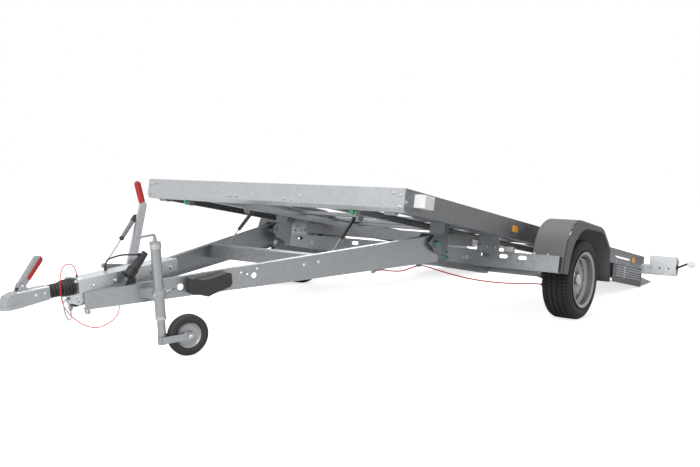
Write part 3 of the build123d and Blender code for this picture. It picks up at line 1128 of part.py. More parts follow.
with BuildPart() as jockey_rim:
    with BuildSketch(Plane.YZ.offset(JOCKEY_TRAIL)):
        with BuildLine():
            half = JOCKEY_WHEEL_WIDTH / 2
            Polyline((-half + 2, JOCKEY_AXLE_Z + 7 + RUNNING_GAP), (-half + 2, JOCKEY_AXLE_Z + 16),
                     (-8, JOCKEY_AXLE_Z + 24), (-8, JOCKEY_AXLE_Z + 50),
                     (-half + 8, JOCKEY_AXLE_Z + JOCKEY_RIM_RADIUS - 0.3),
                     (half - 8, JOCKEY_AXLE_Z + JOCKEY_RIM_RADIUS - 0.3), (8, JOCKEY_AXLE_Z + 50),
                     (8, JOCKEY_AXLE_Z + 24), (half - 2, JOCKEY_AXLE_Z + 16),
                     (half - 2, JOCKEY_AXLE_Z + 7 + RUNNING_GAP), close=True)
        make_face()
    revolve(axis=Axis((JOCKEY_TRAIL, 0, JOCKEY_AXLE_Z), (0, 1, 0)))
finish(jockey_rim.part.moved(swivel), "jockey_rim", BAR_POSE)
finish(jockey_tyre_at(JOCKEY_AXLE_Z), "jockey_tyre", BAR_POSE)

with BuildPart() as crank:
    spindle_top = JOCKEY_TUBE_TOP + 8 + CRANK_RISE
    with BuildLine():
        crank_path = FilletPolyline((JOCKEY_X, JOCKEY_Y, JOCKEY_TUBE_TOP - 40),
                                    (JOCKEY_X, JOCKEY_Y, spindle_top),
                                    (JOCKEY_X - CRANK_ARM, JOCKEY_Y, spindle_top),
                                    (JOCKEY_X - CRANK_ARM, JOCKEY_Y, spindle_top + 45), radius=12)
    with BuildSketch(Plane.XY.offset(JOCKEY_TUBE_TOP - 40)):
        with Locations((JOCKEY_X, JOCKEY_Y)):
            Circle(CRANK_ROD)
    sweep(path=crank_path)
    with Locations((JOCKEY_X, JOCKEY_Y, JOCKEY_TUBE_TOP + 9)):
        Cone(CRANK_COLLAR, CRANK_COLLAR - 2, CRANK_RISE / 2, align=(Align.CENTER, Align.CENTER, Align.MIN))
finish(crank.part, "jockey_crank", BAR_POSE)

# Handbrake: bracket on the housing, lever, grip and its strut
with BuildPart() as brake_bracket:
    plate_y = LEVER_Y - LEVER_GAUGE / 2 - 2
    with BuildSketch(across(plate_y)):
        with BuildLine():
            Polyline((LEVER_STRUT_FOOT_X - 16, BAR_TOP + 6), (LEVER_STRUT_FOOT_X - 16, LEVER_STRUT_FOOT_Z + 12),
                     (LEVER_STRUT_FOOT_X + 16, LEVER_STRUT_FOOT_Z + 12), (LEVER_X - 30, LEVER_Z + 8),
                     (LEVER_X, LEVER_Z + 30), (LEVER_X + 34, LEVER_Z + 8), (LEVER_X + 34, BAR_TOP + 6),
                     close=True)
        make_face()
    extrude(amount=6)
    with BuildSketch(across(plate_y - 6)):
        with Locations((LEVER_STRUT_FOOT_X, BAR_TOP + 6)):
            Rectangle(LEVER_X + 34 - LEVER_STRUT_FOOT_X, 40, align=(Align.MIN, Align.MIN))
    extrude(amount=plate_y - 6 - HOUSING_HALF_WIDTH)
    with BuildSketch(across(LEVER_STRUT_Y + 8)):
        with Locations((LEVER_X, LEVER_Z), (LEVER_STRUT_FOOT_X, LEVER_STRUT_FOOT_Z)):
            Circle(STRUT_PIN_RADIUS)
    extrude(amount=LEVER_STRUT_Y + 8 - plate_y)
finish(brake_bracket.part, "handbrake_bracket", BAR_POSE)

with BuildPart() as lever:
    with BuildSketch(across(LEVER_Y + LEVER_GAUGE / 2)):
        with Locations((LEVER_X, LEVER_Z)):
            Circle(LEVER_ROOT_RADIUS)
        with Locations((LEVER_TOP_X, LEVER_TOP_Z)):
            Circle(LEVER_TIP_RADIUS)
        make_hull()
        with Locations((LEVER_X, LEVER_Z)):
            Circle(STRUT_PIN_RADIUS + RUNNING_GAP, mode=Mode.SUBTRACT)
    extrude(amount=LEVER_GAUGE)
    with BuildSketch(across(LEVER_STRUT_Y + 8)):
        with Locations((LEVER_STRUT_HEAD_X, LEVER_STRUT_HEAD_Z)):
            Circle(STRUT_PIN_RADIUS)
    extrude(amount=LEVER_STRUT_Y + 8 - LEVER_Y)
finish(lever.part, "handbrake_lever", BAR_POSE)

with BuildPart() as brake_grip:
    grip_axis = Vector(GRIP_TOP_X - LEVER_TOP_X, 0, GRIP_TOP_Z - LEVER_TOP_Z)
    grip_root = Vector(LEVER_TOP_X, LEVER_Y, LEVER_TOP_Z)
    with BuildSketch(Plane(origin=grip_root, z_dir=grip_axis)):
        Circle(GRIP_RADIUS)
    extrude(amount=grip_axis.length)
    fillet(brake_grip.faces().sort_by(Axis.Z)[-1].edges(), radius=GRIP_RADIUS / 2)
    with BuildSketch(across(LEVER_Y + GRIP_RADIUS)):
        with Locations((LEVER_TOP_X, LEVER_TOP_Z)):
            Circle(LEVER_TIP_RADIUS)
    extrude(amount=2 * GRIP_RADIUS, mode=Mode.SUBTRACT)
finish(brake_grip.part, "brake_grip", BAR_POSE)


def strut_pieces(head_point, foot_point, body_length, body_radius, rod_radius, foot_play):
    """Cylinder hung from the head pin, and rod that reaches the foot pin."""
    axis = foot_point - head_point
    foot_eye = STRUT_PIN_RADIUS + foot_play + FOOT_EYE_WALL
    start = Plane(origin=head_point, x_dir=(0, 1, 0), z_dir=axis)
    with BuildPart(start) as cylinder:
        with Locations((0, 0, STRUT_EYE_RADIUS - 2)):
            Cylinder(body_radius, body_length - STRUT_EYE_RADIUS + 2,
                     align=(Align.CENTER, Align.CENTER, Align.MIN))
            Cylinder(rod_radius + RUNNING_GAP, body_length,
                     align=(Align.CENTER, Align.CENTER, Align.MIN), mode=Mode.SUBTRACT)
        Cylinder(STRUT_EYE_RADIUS, STRUT_EYE_WIDTH, rotation=(0, 90, 0))
        Cylinder(STRUT_PIN_RADIUS + RUNNING_GAP, STRUT_EYE_WIDTH, rotation=(0, 90, 0), mode=Mode.SUBTRACT)
    with BuildPart(start) as rod:
        with Locations((0, 0, axis.length - foot_eye + 2)):
            Cylinder(rod_radius, axis.length - foot_eye - body_length + ROD_OVERLAP,
                     align=(Align.CENTER, Align.CENTER, Align.MAX))
        with Locations((0, 0, axis.length)):
            Cylinder(foot_eye, STRUT_EYE_WIDTH, rotation=(0, 90, 0))
            Cylinder(foot_eye - FOOT_EYE_WALL, STRUT_EYE_WIDTH, rotation=(0, 90, 0), mode=Mode.SUBTRACT)
    return cylinder.part, rod.part


foot_x, foot_z = turned(STRUT_FOOT_X, STRUT_FOOT_Z, -CLOSING)
for side, name in ((-1, "left"), (1, "right")):
    cylinder, rod = strut_pieces(Vector(STRUT_HEAD_X, side * STRUT_Y, STRUT_HEAD_Z),
                                 Vector(foot_x, side * STRUT_Y, foot_z), STRUT_BODY,
                                 STRUT_BODY_RADIUS, STRUT_ROD_RADIUS, STRUT_FOOT_PLAY)
    finish(cylinder, f"strut_cylinder_{name}", DECK_POSE)
    finish(rod, f"strut_rod_{name}", DECK_POSE)

lever_cylinder, lever_rod = strut_pieces(Vector(LEVER_STRUT_HEAD_X, LEVER_STRUT_Y, LEVER_STRUT_HEAD_Z),
                                         Vector(LEVER_STRUT_FOOT_X, LEVER_STRUT_Y, LEVER_STRUT_FOOT_Z),
                                         LEVER_STRUT_BODY, STRUT_BODY_RADIUS - 1,
                                         STRUT_ROD_RADIUS, LEVER_STRUT_FOOT_PLAY)
finish(lever_cylinder, "lever_strut_cylinder", BAR_POSE)
finish(lever_rod, "lever_strut_rod", BAR_POSE)

# Parked plug: tapered body with a side outlet, in a cup on the left beam
plug_axis = Vector(PLUG_TOP_X - PLUG_FOOT_X, 0, PLUG_TOP_Z - PLUG_FOOT_Z)
plug_plane = Plane(origin=(PLUG_FOOT_X, PLUG_Y, PLUG_FOOT_Z), x_dir=(0, 1, 0), z_dir=plug_axis)
outlet_dir = Vector(-1, 0, 0.15).normalized()
outlet_root = Vector(PLUG_FOOT_X, PLUG_Y, PLUG_FOOT_Z) + plug_axis * (1 - 1.2 * PLUG_OUTLET_RADIUS / plug_axis.length)
outlet_end = outlet_root + outlet_dir * (PLUG_NECK_RADIUS + PLUG_OUTLET_LENGTH)
with BuildPart(plug_plane) as plug:
    Cylinder(PLUG_RADIUS, HOLDER_DEPTH, align=(Align.CENTER, Align.CENTER, Align.MIN))
    with Locations((0, 0, HOLDER_DEPTH)):
        Cylinder(PLUG_RADIUS + HOLDER_WALL, 8, align=(Align.CENTER, Align.CENTER, Align.MIN))
    with Locations((0, 0, HOLDER_DEPTH + 8)):
        Cone(PLUG_RADIUS, PLUG_NECK_RADIUS, plug_axis.length - HOLDER_DEPTH - 8,
             align=(Align.CENTER, Align.CENTER, Align.MIN))
with BuildPart(Plane(origin=outlet_root, z_dir=outlet_dir)) as outlet:
    Cone(PLUG_OUTLET_RADIUS + 3, PLUG_OUTLET_RADIUS, PLUG_NECK_RADIUS + PLUG_OUTLET_LENGTH,
         align=(Align.CENTER, Align.CENTER, Align.MIN))
finish(plug.part + outlet.part, "plug", BAR_POSE)

with BuildPart() as plug_holder:
    cup_radius = PLUG_RADIUS + HOLDER_PLAY + HOLDER_WALL
    with BuildSketch(across(PLUG_Y - PLUG_RADIUS / 2)):
        with BuildLine():
            Polyline((PLUG_FOOT_X - 34, BAR_TOP), (PLUG_FOOT_X + 26, BAR_TOP), (PLUG_FOOT_X + 26, PLUG_FOOT_Z + 16),
                     (PLUG_FOOT_X - 10, PLUG_FOOT_Z), close=True)
        make_face()
    extrude(amount=2 * HOLDER_WALL)
    with Locations(plug_plane.offset(-HOLDER_WALL - HOLDER_PLAY).location):
        Cylinder(cup_radius, HOLDER_DEPTH, align=(Align.CENTER, Align.CENTER, Align.MIN))
    with Locations(plug_plane.offset(-HOLDER_PLAY).location):
        Cylinder(cup_radius - HOLDER_WALL, 2 * HOLDER_DEPTH, align=(Align.CENTER, Align.CENTER, Align.MIN),
                 mode=Mode.SUBTRACT)
finish(plug_holder.part, "plug_holder", BAR_POSE)

# Wheel chock, hung on the outside of the left beam
chock_plane = Plane(origin=(BAR_FRONT, -BAR_FRONT_Y, 0), x_dir=(beam_plane.x_dir.X, -beam_plane.x_dir.Y, 0),
                    z_dir=(-beam_plane.z_dir.X, beam_plane.z_dir.Y, 0))
with BuildPart() as wheel_chock:
    with BuildSketch(chock_plane):
        with BuildLine():
            Polyline(*[(along_beam(x), z) for x, z in CHOCK_OUTLINE], close=True)
        make_face()
        fillet(vertices(), radius=6)
    extrude(amount=CHOCK_WIDTH)
    with BuildSketch(chock_plane):
        with BuildLine():
            Polyline(*[(along_beam(x), z) for x, z in CHOCK_OUTLINE], close=True)
        make_face()
        offset(amount=-CHOCK_WALL, mode=Mode.REPLACE)
    extrude(amount=CHOCK_WIDTH - CHOCK_WALL, mode=Mode.SUBTRACT)
finish(wheel_chock.part, "wheel_chock", BAR_POSE)


def cord(points, diameter, label, pose):
    """Round cable through the points: straight runs joined by arcs that their shorter run allows."""
    points = [Vector(*point) for point in points]
    radii = []
    for before, corner, after in zip(points, points[1:], points[2:]):
        turn = radians((corner - before).get_angle(after - corner))
        radii.append(0.45 * min((corner - before).length, (after - corner).length) / tan(turn / 2))
    with BuildPart() as cable:
        with BuildLine():
            lie = FilletPolyline(*points, radius=radii)
        with BuildSketch(Plane(origin=points[0], z_dir=points[1] - points[0])):
            Circle(diameter / 2)
        sweep(path=lie)
    length = sum((b - a).length for a, b in zip(points, points[1:]))
    print(label, "least bend", round(min(radii), 1), "run", round(length), "path", round(lie.length, 1),
          "volume share", round(cable.part.volume / (lie.length * 3.14159 * diameter ** 2 / 4), 4))
    finish(cable.part, label, pose)


outlet_point = (outlet_end.X, outlet_end.Y, outlet_end.Z)
second = outlet_end + outlet_dir * PLUG_CABLE_LEAD
cord([outlet_point, (second.X, second.Y, second.Z), *PLUG_CABLE], PLUG_CABLE_DIAMETER, "plug_cable", BAR_POSE)
cord(BREAKAWAY_CABLE, BREAKAWAY_DIAMETER, "breakaway_cable", BAR_POSE)
cord(FRONT_CABLE, BRAKE_CABLE_DIAMETER, "brake_cable_front", BAR_POSE)
cord(BRAKE_CABLE, BRAKE_CABLE_DIAMETER, "brake_cable_rear", DECK_POSE)

print("tilt", round(TILT, 3), "closing", round(CLOSING, 3), "shift", round(CENTRE_SHIFT, 2),
      "jockey axle", round(JOCKEY_AXLE_Z, 3))
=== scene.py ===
"""Tilt car trailer: finishes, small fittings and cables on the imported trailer, with its stage and camera."""
import json
import math

import bpy
import numpy as np
from mathutils import Matrix, Vector


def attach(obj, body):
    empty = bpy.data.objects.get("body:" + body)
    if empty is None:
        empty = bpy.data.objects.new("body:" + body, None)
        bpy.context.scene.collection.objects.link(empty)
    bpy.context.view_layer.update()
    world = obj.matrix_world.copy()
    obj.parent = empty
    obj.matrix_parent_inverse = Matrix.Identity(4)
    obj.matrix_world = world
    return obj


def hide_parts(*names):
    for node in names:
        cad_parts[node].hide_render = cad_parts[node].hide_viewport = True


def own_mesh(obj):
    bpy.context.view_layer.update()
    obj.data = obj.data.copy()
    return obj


bl_info = {
    "name": "Tilt Car Trailer Dresser",
    "version": (1, 0, 0),
    "blender": (4, 5, 0),
    "location": "View3D > Sidebar > Trailer",
    "description": "Dresses a tilt car trailer with its finishes, fittings and cables",
    "category": "Object",
}

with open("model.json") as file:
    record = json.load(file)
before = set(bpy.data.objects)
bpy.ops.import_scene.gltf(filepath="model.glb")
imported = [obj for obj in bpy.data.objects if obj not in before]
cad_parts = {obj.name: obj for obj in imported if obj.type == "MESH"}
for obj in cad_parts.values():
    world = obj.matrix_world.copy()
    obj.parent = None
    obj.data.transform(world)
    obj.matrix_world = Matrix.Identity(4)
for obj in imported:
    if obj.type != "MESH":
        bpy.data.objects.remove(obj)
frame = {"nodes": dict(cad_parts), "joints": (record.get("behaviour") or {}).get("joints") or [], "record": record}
NODES = frame["nodes"]
SLOTS = {part["node"]: part["material_slot"] for part in frame["record"]["subparts"]}
JOINTS = {joint["name"]: joint for joint in frame["joints"]}
BODIES = {node: body for body, nodes in frame["record"]["behaviour"]["bodies"].items() for node in nodes}

# Level trailer: pieces are worked out on it, from the middle of the axle line, in metres
HINGE_LEVEL = Vector((-0.943, 0.0, 0.105))
AXLE = Vector(JOINTS["wheel_left_spin"]["pos_m"]) * Vector((1, 0, 1))
HINGE = Vector(JOINTS["drawbar_hinge"]["pos_m"])


def nose_up(direction):
    """Angle about +Y that lifts the front end, of a direction that is level along +X at 0."""
    return math.atan2(-direction.z, direction.x)


TILT = nose_up(HINGE - AXLE) - nose_up(HINGE_LEVEL)
BAR_ANGLE = nose_up(Vector(JOINTS["overrun_slide"]["axis"]))
DECK_POSE = Matrix.Translation(AXLE) @ Matrix.Rotation(TILT, 4, "Y")
BAR_POSE = Matrix.Translation(HINGE) @ Matrix.Rotation(BAR_ANGLE, 4, "Y") @ Matrix.Translation(-HINGE_LEVEL)

# Directions of the level trailer: back along it, to its right, and up
BACK, RIGHT, UP = (1, 0, 0), (0, 1, 0), (0, 0, 1)
FORWARD, LEFT = (-1, 0, 0), (0, -1, 0)

# Sizes of the trailer that several pieces share, in millimetres on the level trailer
WHEEL_Y = 1181.5
RAIL_FACE = 990.0
PANEL_FACE = -1781.0
FENDER_BEAM_FACE = -467.0
HINGE_AT = (-943.0, 105.0)
BEAM_TURN = math.radians(16.75)
BEAM_SLOPE = math.tan(BEAM_TURN)
BAR_FRONT = (-2957.0, 61.0)
SHAFT_Z = 175.0
JOCKEY_AT = (-2678.0, -240.0)
HANDLE_PIVOT = (-3222.0, 0.0, 227.0)
HANDLE_TIP = (-3132.0, 0.0, 327.0)
LEVER_STRUT_HEAD = (-2490.0, 134.0, 425.0)
LEVER_STRUT_FOOT = (-2701.0, 134.0, 209.0)

# Routes of the cables, in metres on the level trailer
PLUG_CABLE = ((-2.6569, -0.085, 0.2755), (-2.6906, -0.085, 0.2805), (-2.712, -0.044, 0.281),
              (-2.733, -0.004, 0.272), (-2.762, 0.038, 0.254), (-2.762, 0.038, 0.208))
BREAKAWAY_CABLE = ((-2.945, 0, 0.208), (-2.945, 0, 0.252), (-2.988, -0.024, 0.286), (-3.038, -0.047, 0.289),
                   (-3.068, -0.061, 0.25), (-3.076, -0.064, 0.199), (-3.076, -0.065, 0.148),
                   (-3.062, -0.063, 0.098), (-3.032, -0.062, 0.056), (-2.996, -0.062, 0.019),
                   (-2.954, -0.066, -0.012), (-2.906, -0.074, -0.027), (-2.857, -0.084, -0.017),
                   (-2.801, -0.097, 0.016), (-2.799, -0.097, 0.0604))
FRONT_CABLE = ((-1.356, -0.527, -0.008), (-1.29, -0.527, -0.008), (-1.225, -0.552, -0.028),
               (-1.16, -0.59, -0.038), (-1.1, -0.624, -0.023), (-1.036, -0.624, -0.023))
BRAKE_CABLE = ((-0.952, -0.604, -0.038), (-0.868, -0.604, -0.038), (-0.784, -0.655, -0.056),
               (-0.712, -0.73, -0.073), (-0.635, -0.806, -0.084), (-0.551, -0.87, -0.087),
               (-0.461, -0.926, -0.084), (-0.373, -0.972, -0.077), (-0.276, -1.012, -0.068),
               (-0.179, -1.037, -0.06), (-0.084, -1.037, -0.06))

# Camera of the photograph, worked out from the trailer's own edges
FRAME_WIDTH_PX = 700.0
SENSOR_MM = 36.0
FOCAL_PX = 804.42
CAMERA_PLACE = Vector((AXLE.x - 5.0877, -3.2001, 0.8645))
CAMERA_YAW = math.radians(52.894)
CAMERA_PITCH = math.radians(3.791)
CAMERA_ROLL = math.radians(1.764)


def posed(points, pose):
    """Points of the level trailer carried to where they stand: each is multiplied by the pose's matrix."""
    matrix = np.array(pose, float)
    return np.asarray(points, float) @ matrix[:3, :3].T + matrix[:3, 3]


def ring_quads(rows, columns, close_rows=False):
    """Quads of a grid of points whose columns close round it: each joins a point to its three neighbours."""
    row = np.arange(rows if close_rows else rows - 1)[:, None]
    column = np.arange(columns)[None, :]
    after, ahead = (row + 1) % rows, (column + 1) % columns
    corners = (row * columns + column, row * columns + ahead,
               after * columns + ahead, after * columns + column)
    return np.stack(corners, axis=-1).reshape(-1, 4)


def end_caps(rows, columns):
    """The two flat faces that close the first and the last row of a grid."""
    first = np.arange(columns)
    return [first[::-1], (rows - 1) * columns + first]


def unit(vector):
    """The vector, or each row of it, divided by its length."""
    vector = np.asarray(vector, float)
    return vector / np.linalg.norm(vector, axis=-1, keepdims=True)


def turned_form(profile, place, axis, steps=24, closed=False):
    """Form swept round an axis: a point is the place, plus its distance along the axis, plus its radius in a
    direction that goes round. A closed profile makes a ring, an open one gets flat ends."""
    along, radius = np.asarray(profile, float).T
    axis = unit(axis)
    first = unit(np.cross(axis, UP if abs(axis[2]) < 0.9 else BACK))
    second = np.cross(axis, first)
    angle = np.arange(steps) * 2 * np.pi / steps
    outward = np.cos(angle)[:, None] * first + np.sin(angle)[:, None] * second
    points = np.asarray(place, float) + along[:, None, None] * axis + radius[:, None, None] * outward
    caps = [] if closed else end_caps(len(along), steps)
    return points.reshape(-1, 3), ring_quads(len(along), steps, closed), caps


def carried_form(path, radius, upright, steps=10, closed=False):
    """Round bar: a circle carried along a path, square to it at each point, with the upright as reference."""
    path = np.asarray(path, float)
    if closed:
        ahead = unit(np.roll(path, -1, axis=0) - np.roll(path, 1, axis=0))
    else:
        ahead = unit(np.gradient(path, axis=0))
    side = unit(np.cross(np.asarray(upright, float), ahead))
    over = np.cross(ahead, side)
    angle = np.arange(steps) * 2 * np.pi / steps
    ring = np.cos(angle)[:, None] * side[:, None] + np.sin(angle)[:, None] * over[:, None]
    points = path[:, None] + radius * ring
    caps = [] if closed else end_caps(len(path), steps)
    return points.reshape(-1, 3), ring_quads(len(path), steps, closed), caps


def loop_form(centre, across, up, wire, upright, steps=40, sides=10):
    """Closed loop of round bar: its path is the centre, plus the cosine of the turn times one half axis, plus
    the sine times the other."""
    turn = np.arange(steps)[:, None] * 2 * np.pi / steps
    path = np.asarray(centre, float) + np.cos(turn) * across + np.sin(turn) * up
    return carried_form(path, wire, upright, sides, closed=True)


def slab_form(outline, place, across, up, depth):
    """Flat form: a point is the place, plus its first number across, plus its second up, and the second face
    lies the depth further along the direction square to both."""
    outline = np.asarray(outline, float)
    after = np.roll(outline, -1, axis=0)
    if np.sum(outline[:, 0] * after[:, 1] - after[:, 0] * outline[:, 1]) < 0:
        outline = outline[::-1]
    across, up = unit(across), unit(up)
    flat = np.asarray(place, float) + outline[:, :1] * across + outline[:, 1:] * up
    points = np.concatenate([flat, flat + depth * np.cross(across, up)])
    return points, ring_quads(2, len(outline)), end_caps(2, len(outline))


def box_form(low, high):
    """Box between two corners."""
    length, width, height = np.asarray(high, float) - low
    return slab_form(((0, 0), (length, 0), (length, width), (0, width)), low, BACK, RIGHT, height)


def rounded_outline(width, height, radius, steps=6):
    """Rectangle about the origin with round corners: quarter circles about the four corner centres."""
    angle = (np.arange(4)[:, None] * np.pi / 2 + np.linspace(0, np.pi / 2, steps)[None, :]).ravel()
    centre = np.repeat(np.array(((1, 1), (-1, 1), (-1, -1), (1, -1)), float)
                       * (width / 2 - radius, height / 2 - radius), steps, axis=0)
    return centre + radius * np.stack([np.cos(angle), np.sin(angle)], axis=1)


def hex_bolt(place, axis, width, stud=0.5):
    """Bolt on a face: a washer, a six-sided head with a bevelled top, and the end of its stud."""
    axis = unit(axis)
    place = np.asarray(place, float)
    corner = width / math.sqrt(3)
    return [turned_form([(-1, width * 0.86), (2, width * 0.86)], place, axis, 20),
            turned_form([(2, corner), (width * 0.62, corner), (width * 0.70, corner * 0.86)], place, axis, 6),
            turned_form([(2, width * 0.3), (width * (0.7 + stud * 0.4), width * 0.3),
                         (width * (0.75 + stud * 0.4), width * 0.24)], place, axis, 12)]


def dome_head(place, axis, radius):
    """Rivet or button head: a quarter circle swept round its axis."""
    angle = np.linspace(0, np.pi / 2 * 0.94, 6)
    profile = np.stack([radius * 0.55 * np.sin(angle), radius * np.cos(angle)], axis=1)
    return turned_form(np.concatenate([[(-1, radius)], profile]), place, axis, 16)


def make_piece(name, forms, body, slot, pose, material=None, bevel=0.0, crease=35.0):
    """Mesh of closed forms, worked out in millimetres on the level trailer, carried to its pose."""
    starts = np.cumsum([0] + [len(points) for points, _, _ in forms])
    points = posed(np.concatenate([points for points, _, _ in forms]) / 1000.0, pose)
    faces = []
    for start, (_, quads, caps) in zip(starts, forms):
        faces += (quads + start).tolist() + [(cap + start).tolist() for cap in caps]
    mesh = bpy.data.meshes.new(name)
    mesh.from_pydata(points.tolist(), [], faces)
    mesh.polygons.foreach_set("use_smooth", np.ones(len(mesh.polygons), bool))
    mesh.set_sharp_from_angle(angle=math.radians(crease))
    mesh.update()
    piece = bpy.data.objects.new(name, mesh)
    bpy.context.scene.collection.objects.link(piece)
    if bevel:
        edge = piece.modifiers.new("Soft edges", "BEVEL")
        edge.width = bevel / 1000.0
        edge.segments = 2
        edge.limit_method = "ANGLE"
    mesh.materials.append(material or slot_material(slot))
    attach(piece, body)
    return piece


def make_plated(name, forms, body, pose, bevel=0.0):
    """Small piece of freshly plated steel."""
    return make_piece(name, forms, body, "galvanised_steel", pose, plain_finish("bright_zinc"), bevel)


def make_cable(name, route, diameter, pose, **facts):
    """Cable as a curve: a smooth line with the route's points as its control points."""
    points = np.ones((len(route), 4))
    points[:, :3] = posed(route, pose)
    curve = bpy.data.curves.new(name, "CURVE")
    curve.dimensions = "3D"
    line = curve.splines.new("NURBS")
    line.points.add(len(route) - 1)
    line.points.foreach_set("co", points.ravel())
    line.order_u = 3
    line.use_endpoint_u = True
    curve.resolution_u = 12
    curve.bevel_depth = diameter / 2
    curve.bevel_resolution = 5
    curve.use_fill_caps = True
    cable = bpy.data.objects.new(name + "_line", curve)
    bpy.context.scene.collection.objects.link(cable)
    curve.materials.append(slot_material(SLOTS[name]))
    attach(cable, BODIES[name])
    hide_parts(name)
    return cable


class TrailerLook(bpy.types.PropertyGroup):
    """Colours and sizes of the finishes that a user would change."""
    zinc: bpy.props.FloatVectorProperty(
        name="Zinc", description="Colour of the galvanised steel", subtype="COLOR", size=3,
        default=(0.375, 0.39, 0.405), min=0.0, max=1.0)
    fender: bpy.props.FloatVectorProperty(
        name="Fender", description="Colour of the moulded fenders", subtype="COLOR", size=3,
        default=(0.125, 0.13, 0.135), min=0.0, max=1.0)
    spangle: bpy.props.FloatProperty(
        name="Spangle", description="Width of a zinc crystal", subtype="DISTANCE", unit="LENGTH",
        default=0.012, min=0.002, max=0.1)
    tread_blocks: bpy.props.IntProperty(
        name="Tread blocks", description="Blocks round the shoulder of a tyre", default=72, min=24, max=120)
    tread_depth: bpy.props.FloatProperty(
        name="Tread depth", description="Depth of the grooves round a tyre", subtype="DISTANCE",
        unit="LENGTH", default=0.007, min=0.001, max=0.012)
    bellows: bpy.props.IntProperty(
        name="Bellows folds", description="Folds of the overrun's rubber gaiter", default=8, min=3, max=14)
    nut_width: bpy.props.FloatProperty(
        name="Nut width", description="Width over the flats of a wheel nut", subtype="DISTANCE",
        unit="LENGTH", default=0.019, min=0.010, max=0.030)
    floor: bpy.props.FloatVectorProperty(
        name="Floor", description="Colour of the stage floor", subtype="COLOR", size=3,
        default=(0.86, 0.86, 0.86), min=0.0, max=1.0)


def add_node(tree, kind, inputs=(), **settings):
    """A node of that kind, with its settings, and its inputs set to values or linked to other sockets."""
    made = tree.nodes.new(kind)
    for name, value in settings.items():
        setattr(made, name, value)
    for key, value in dict(inputs).items():
        if isinstance(value, bpy.types.NodeSocket):
            tree.links.new(value, made.inputs[key])
        else:
            made.inputs[key].default_value = value
    return made


def new_group(name, inputs, outputs):
    """An empty shader group with those sockets, and its two end nodes."""
    tree = bpy.data.node_groups.new(name, "ShaderNodeTree")
    for label, kind, default in inputs:
        socket = tree.interface.new_socket(name=label, in_out="INPUT", socket_type=kind)
        socket.default_value = default
    for label, kind in outputs:
        tree.interface.new_socket(name=label, in_out="OUTPUT", socket_type=kind)
    return tree, tree.nodes.new("NodeGroupInput"), tree.nodes.new("NodeGroupOutput")


def zinc_group():
    """Galvanised surface: crystals of uneven tone, cloudy patches and fine grain."""
    name = "Zinc Spangle"
    if name in bpy.data.node_groups:
        return bpy.data.node_groups[name]
    tree, start, end = new_group(
        name,
        [("Tone", "NodeSocketColor", (0.62, 0.64, 0.66, 1.0)), ("Crystals", "NodeSocketFloat", 80.0),
         ("Depth", "NodeSocketFloat", 0.12), ("Roughness", "NodeSocketFloat", 0.38)],
        [("Color", "NodeSocketColor"), ("Roughness", "NodeSocketFloat"), ("Height", "NodeSocketFloat")])
    place = add_node(tree, "ShaderNodeTexCoord").outputs["Object"]
    crystals = add_node(tree, "ShaderNodeTexVoronoi", {"Vector": place, "Scale": start.outputs["Crystals"]})
    clouds = add_node(tree, "ShaderNodeTexNoise", {"Vector": place, "Scale": 5.0, "Detail": 4.0})
    grain = add_node(tree, "ShaderNodeTexNoise", {"Vector": place, "Scale": 260.0, "Detail": 2.0})
    crystal_tone = add_node(tree, "ShaderNodeSeparateColor", {"Color": crystals.outputs["Color"]})
    mixed = add_node(tree, "ShaderNodeMath", {0: crystal_tone.outputs["Red"], 1: clouds.outputs["Fac"]},
                     operation="ADD")
    signed = add_node(tree, "ShaderNodeMath", {0: mixed.outputs[0], 1: 1.0}, operation="SUBTRACT")
    swing = add_node(tree, "ShaderNodeMath", {0: signed.outputs[0], 1: start.outputs["Depth"], 2: 1.0},
                     operation="MULTIPLY_ADD")
    tone = add_node(tree, "ShaderNodeVectorMath", {0: start.outputs["Tone"], 1: swing.outputs[0]},
                    operation="MULTIPLY")
    rough = add_node(tree, "ShaderNodeMath", {0: signed.outputs[0], 1: 0.12, 2: start.outputs["Roughness"]},
                     operation="MULTIPLY_ADD")
    tree.links.new(tone.outputs[0], end.inputs["Color"])
    tree.links.new(rough.outputs[0], end.inputs["Roughness"])
    tree.links.new(grain.outputs["Fac"], end.inputs["Height"])
    return tree


def grain_group():
    """Moulded or painted surface: soft mottling in tone and a fine pebble grain."""
    name = "Moulded Grain"
    if name in bpy.data.node_groups:
        return bpy.data.node_groups[name]
    tree, start, end = new_group(
        name,
        [("Tone", "NodeSocketColor", (0.1, 0.1, 0.1, 1.0)), ("Mottle", "NodeSocketFloat", 0.15),
         ("Pebble", "NodeSocketFloat", 900.0), ("Roughness", "NodeSocketFloat", 0.5)],
        [("Color", "NodeSocketColor"), ("Roughness", "NodeSocketFloat"), ("Height", "NodeSocketFloat")])
    place = add_node(tree, "ShaderNodeTexCoord").outputs["Object"]
    clouds = add_node(tree, "ShaderNodeTexNoise", {"Vector": place, "Scale": 9.0, "Detail": 5.0})
    pebble = add_node(tree, "ShaderNodeTexNoise", {"Vector": place, "Scale": start.outputs["Pebble"],
                                                    "Detail": 2.0})
    signed = add_node(tree, "ShaderNodeMath", {0: clouds.outputs["Fac"], 1: 0.5}, operation="SUBTRACT")
    swing = add_node(tree, "ShaderNodeMath", {0: signed.outputs[0], 1: start.outputs["Mottle"], 2: 1.0},
                     operation="MULTIPLY_ADD")
    tone = add_node(tree, "ShaderNodeVectorMath", {0: start.outputs["Tone"], 1: swing.outputs[0]},
                    operation="MULTIPLY")
    rough = add_node(tree, "ShaderNodeMath", {0: signed.outputs[0], 1: 0.3, 2: start.outputs["Roughness"]},
                     operation="MULTIPLY_ADD")
    tree.links.new(tone.outputs[0], end.inputs["Color"])
    tree.links.new(rough.outputs[0], end.inputs["Roughness"])
    tree.links.new(pebble.outputs["Fac"], end.inputs["Height"])
    return tree


